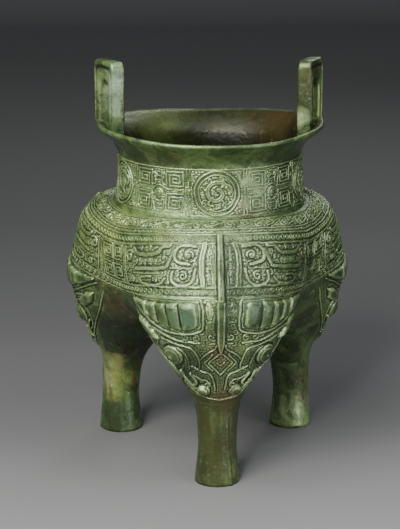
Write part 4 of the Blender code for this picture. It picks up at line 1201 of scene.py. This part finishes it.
# The two upright handles, poured in one with the rim and turned a little inwards at the
# front: flat bars with an arched opening, and a channel along the middle of each wide face.
# sizes in mm, and the turn in degrees
HANDLE_TOP = 280.0
HANDLE_WIDTH = 29.0
HANDLE_THICKNESS = 9.8
HANDLE_TURN = 25.0
HANDLE_REACH = 69.8
HANDLE_FOOT = 22.0
HANDLE_OPENING = 13.0
HANDLE_BAR = 13.5
HANDLE_CORNER = 4.5


def arch(half, low, high, corner, count):
    """Closed outline with a rounded top, evenly stepped from the middle of its foot."""
    line = [(0.0, low), (half, low)]
    for turn in range(2):
        for k in range(9):
            a = math.pi / 2 * (k / 8 + turn)
            line.append(((half - corner) * (1 if turn == 0 else -1) + corner * math.cos(a),
                         high - corner + corner * math.sin(a)))
    line += [(-half, low), (0.0, low)]
    line = np.array(line)
    run = np.concatenate([[0.0], np.cumsum(np.linalg.norm(np.diff(line, axis=0), axis=1))])
    place = np.linspace(0, run[-1], count, endpoint=False)
    return np.stack([np.interp(place, run, line[:, 0]), np.interp(place, run, line[:, 1])], -1)


# share of the way from the outer edge to the opening, and depth below the face
FACE = ((0.0, 1.7), (0.012, 0.95), (0.045, 0.35), (0.10, 0.06), (0.19, 0.0), (0.235, 0.25), (0.27, 1.0),
        (0.335, 1.15), (0.39, 0.9), (0.43, 0.2), (0.48, 0.0), (0.72, 0.0), (0.80, 0.12), (0.90, 0.5),
        (0.96, 1.0), (1.0, 1.8))
LINE_STEPS = 168
rim_at_handle = (RIM_HEIGHT + RIM_WAVE) / MM
outer_line = arch(HANDLE_WIDTH / 2, rim_at_handle - HANDLE_FOOT, HANDLE_TOP, HANDLE_CORNER, LINE_STEPS)
opening_line = arch(HANDLE_OPENING / 2, rim_at_handle - 0.6, HANDLE_TOP - HANDLE_BAR,
                    HANDLE_OPENING * 0.49, LINE_STEPS)
for name, side in (("left_handle", -1), ("right_handle", 1)):
    plate = bmesh.new()
    turn = math.radians(-(90 + HANDLE_TURN) * side)
    loops, wear = [], []
    profile = [(share, HANDLE_THICKNESS / 2 - depth, depth) for share, depth in FACE]
    profile += [(share, depth - HANDLE_THICKNESS / 2, depth) for share, depth in FACE[::-1]]
    for share, level, depth in profile:
        line = outer_line * (1 - share) + opening_line * share
        ring = []
        for x, z in line:
            out = level + 0.06 * math.sin(z * 0.33 + side) + 0.04 * math.sin(z * 0.91 + x)
            wx = side * HANDLE_REACH + x * math.cos(turn) - out * math.sin(turn)
            wy = x * math.sin(turn) + out * math.cos(turn)
            r = math.hypot(wx, wy) * MM
            if r > NECK_RADIUS:
                t = min(1.0, (r - NECK_RADIUS) / (RIM_RADIUS - NECK_RADIUS)) ** (1 / FLARE_CURVE)
                climb = t ** FLARE_CLIMB
                under = NECK_TOP + (RIM_HEIGHT - LIP - NECK_TOP) * climb + RIM_WAVE * climb + LIP * 0.35
                z = max(z, under / MM)
            ring.append(plate.verts.new((wx * MM, wy * MM, z * MM)))
            # the outer edge is a little rubbed, and the channel is dark with dirt and painted shade
            wear.append(0.5 + 0.07 * (share < 0.08) - 0.45 * (0.26 < share < 0.40))
        loops.append(ring)
    for a, b in zip(loops, loops[1:] + loops[:1]):
        for i in range(len(a)):
            j = (i + 1) % len(a)
            plate.faces.new((a[i], a[j], b[j], b[i]))
    bmesh.ops.recalc_face_normals(plate, faces=plate.faces)
    finish_piece(plate, name, wear)


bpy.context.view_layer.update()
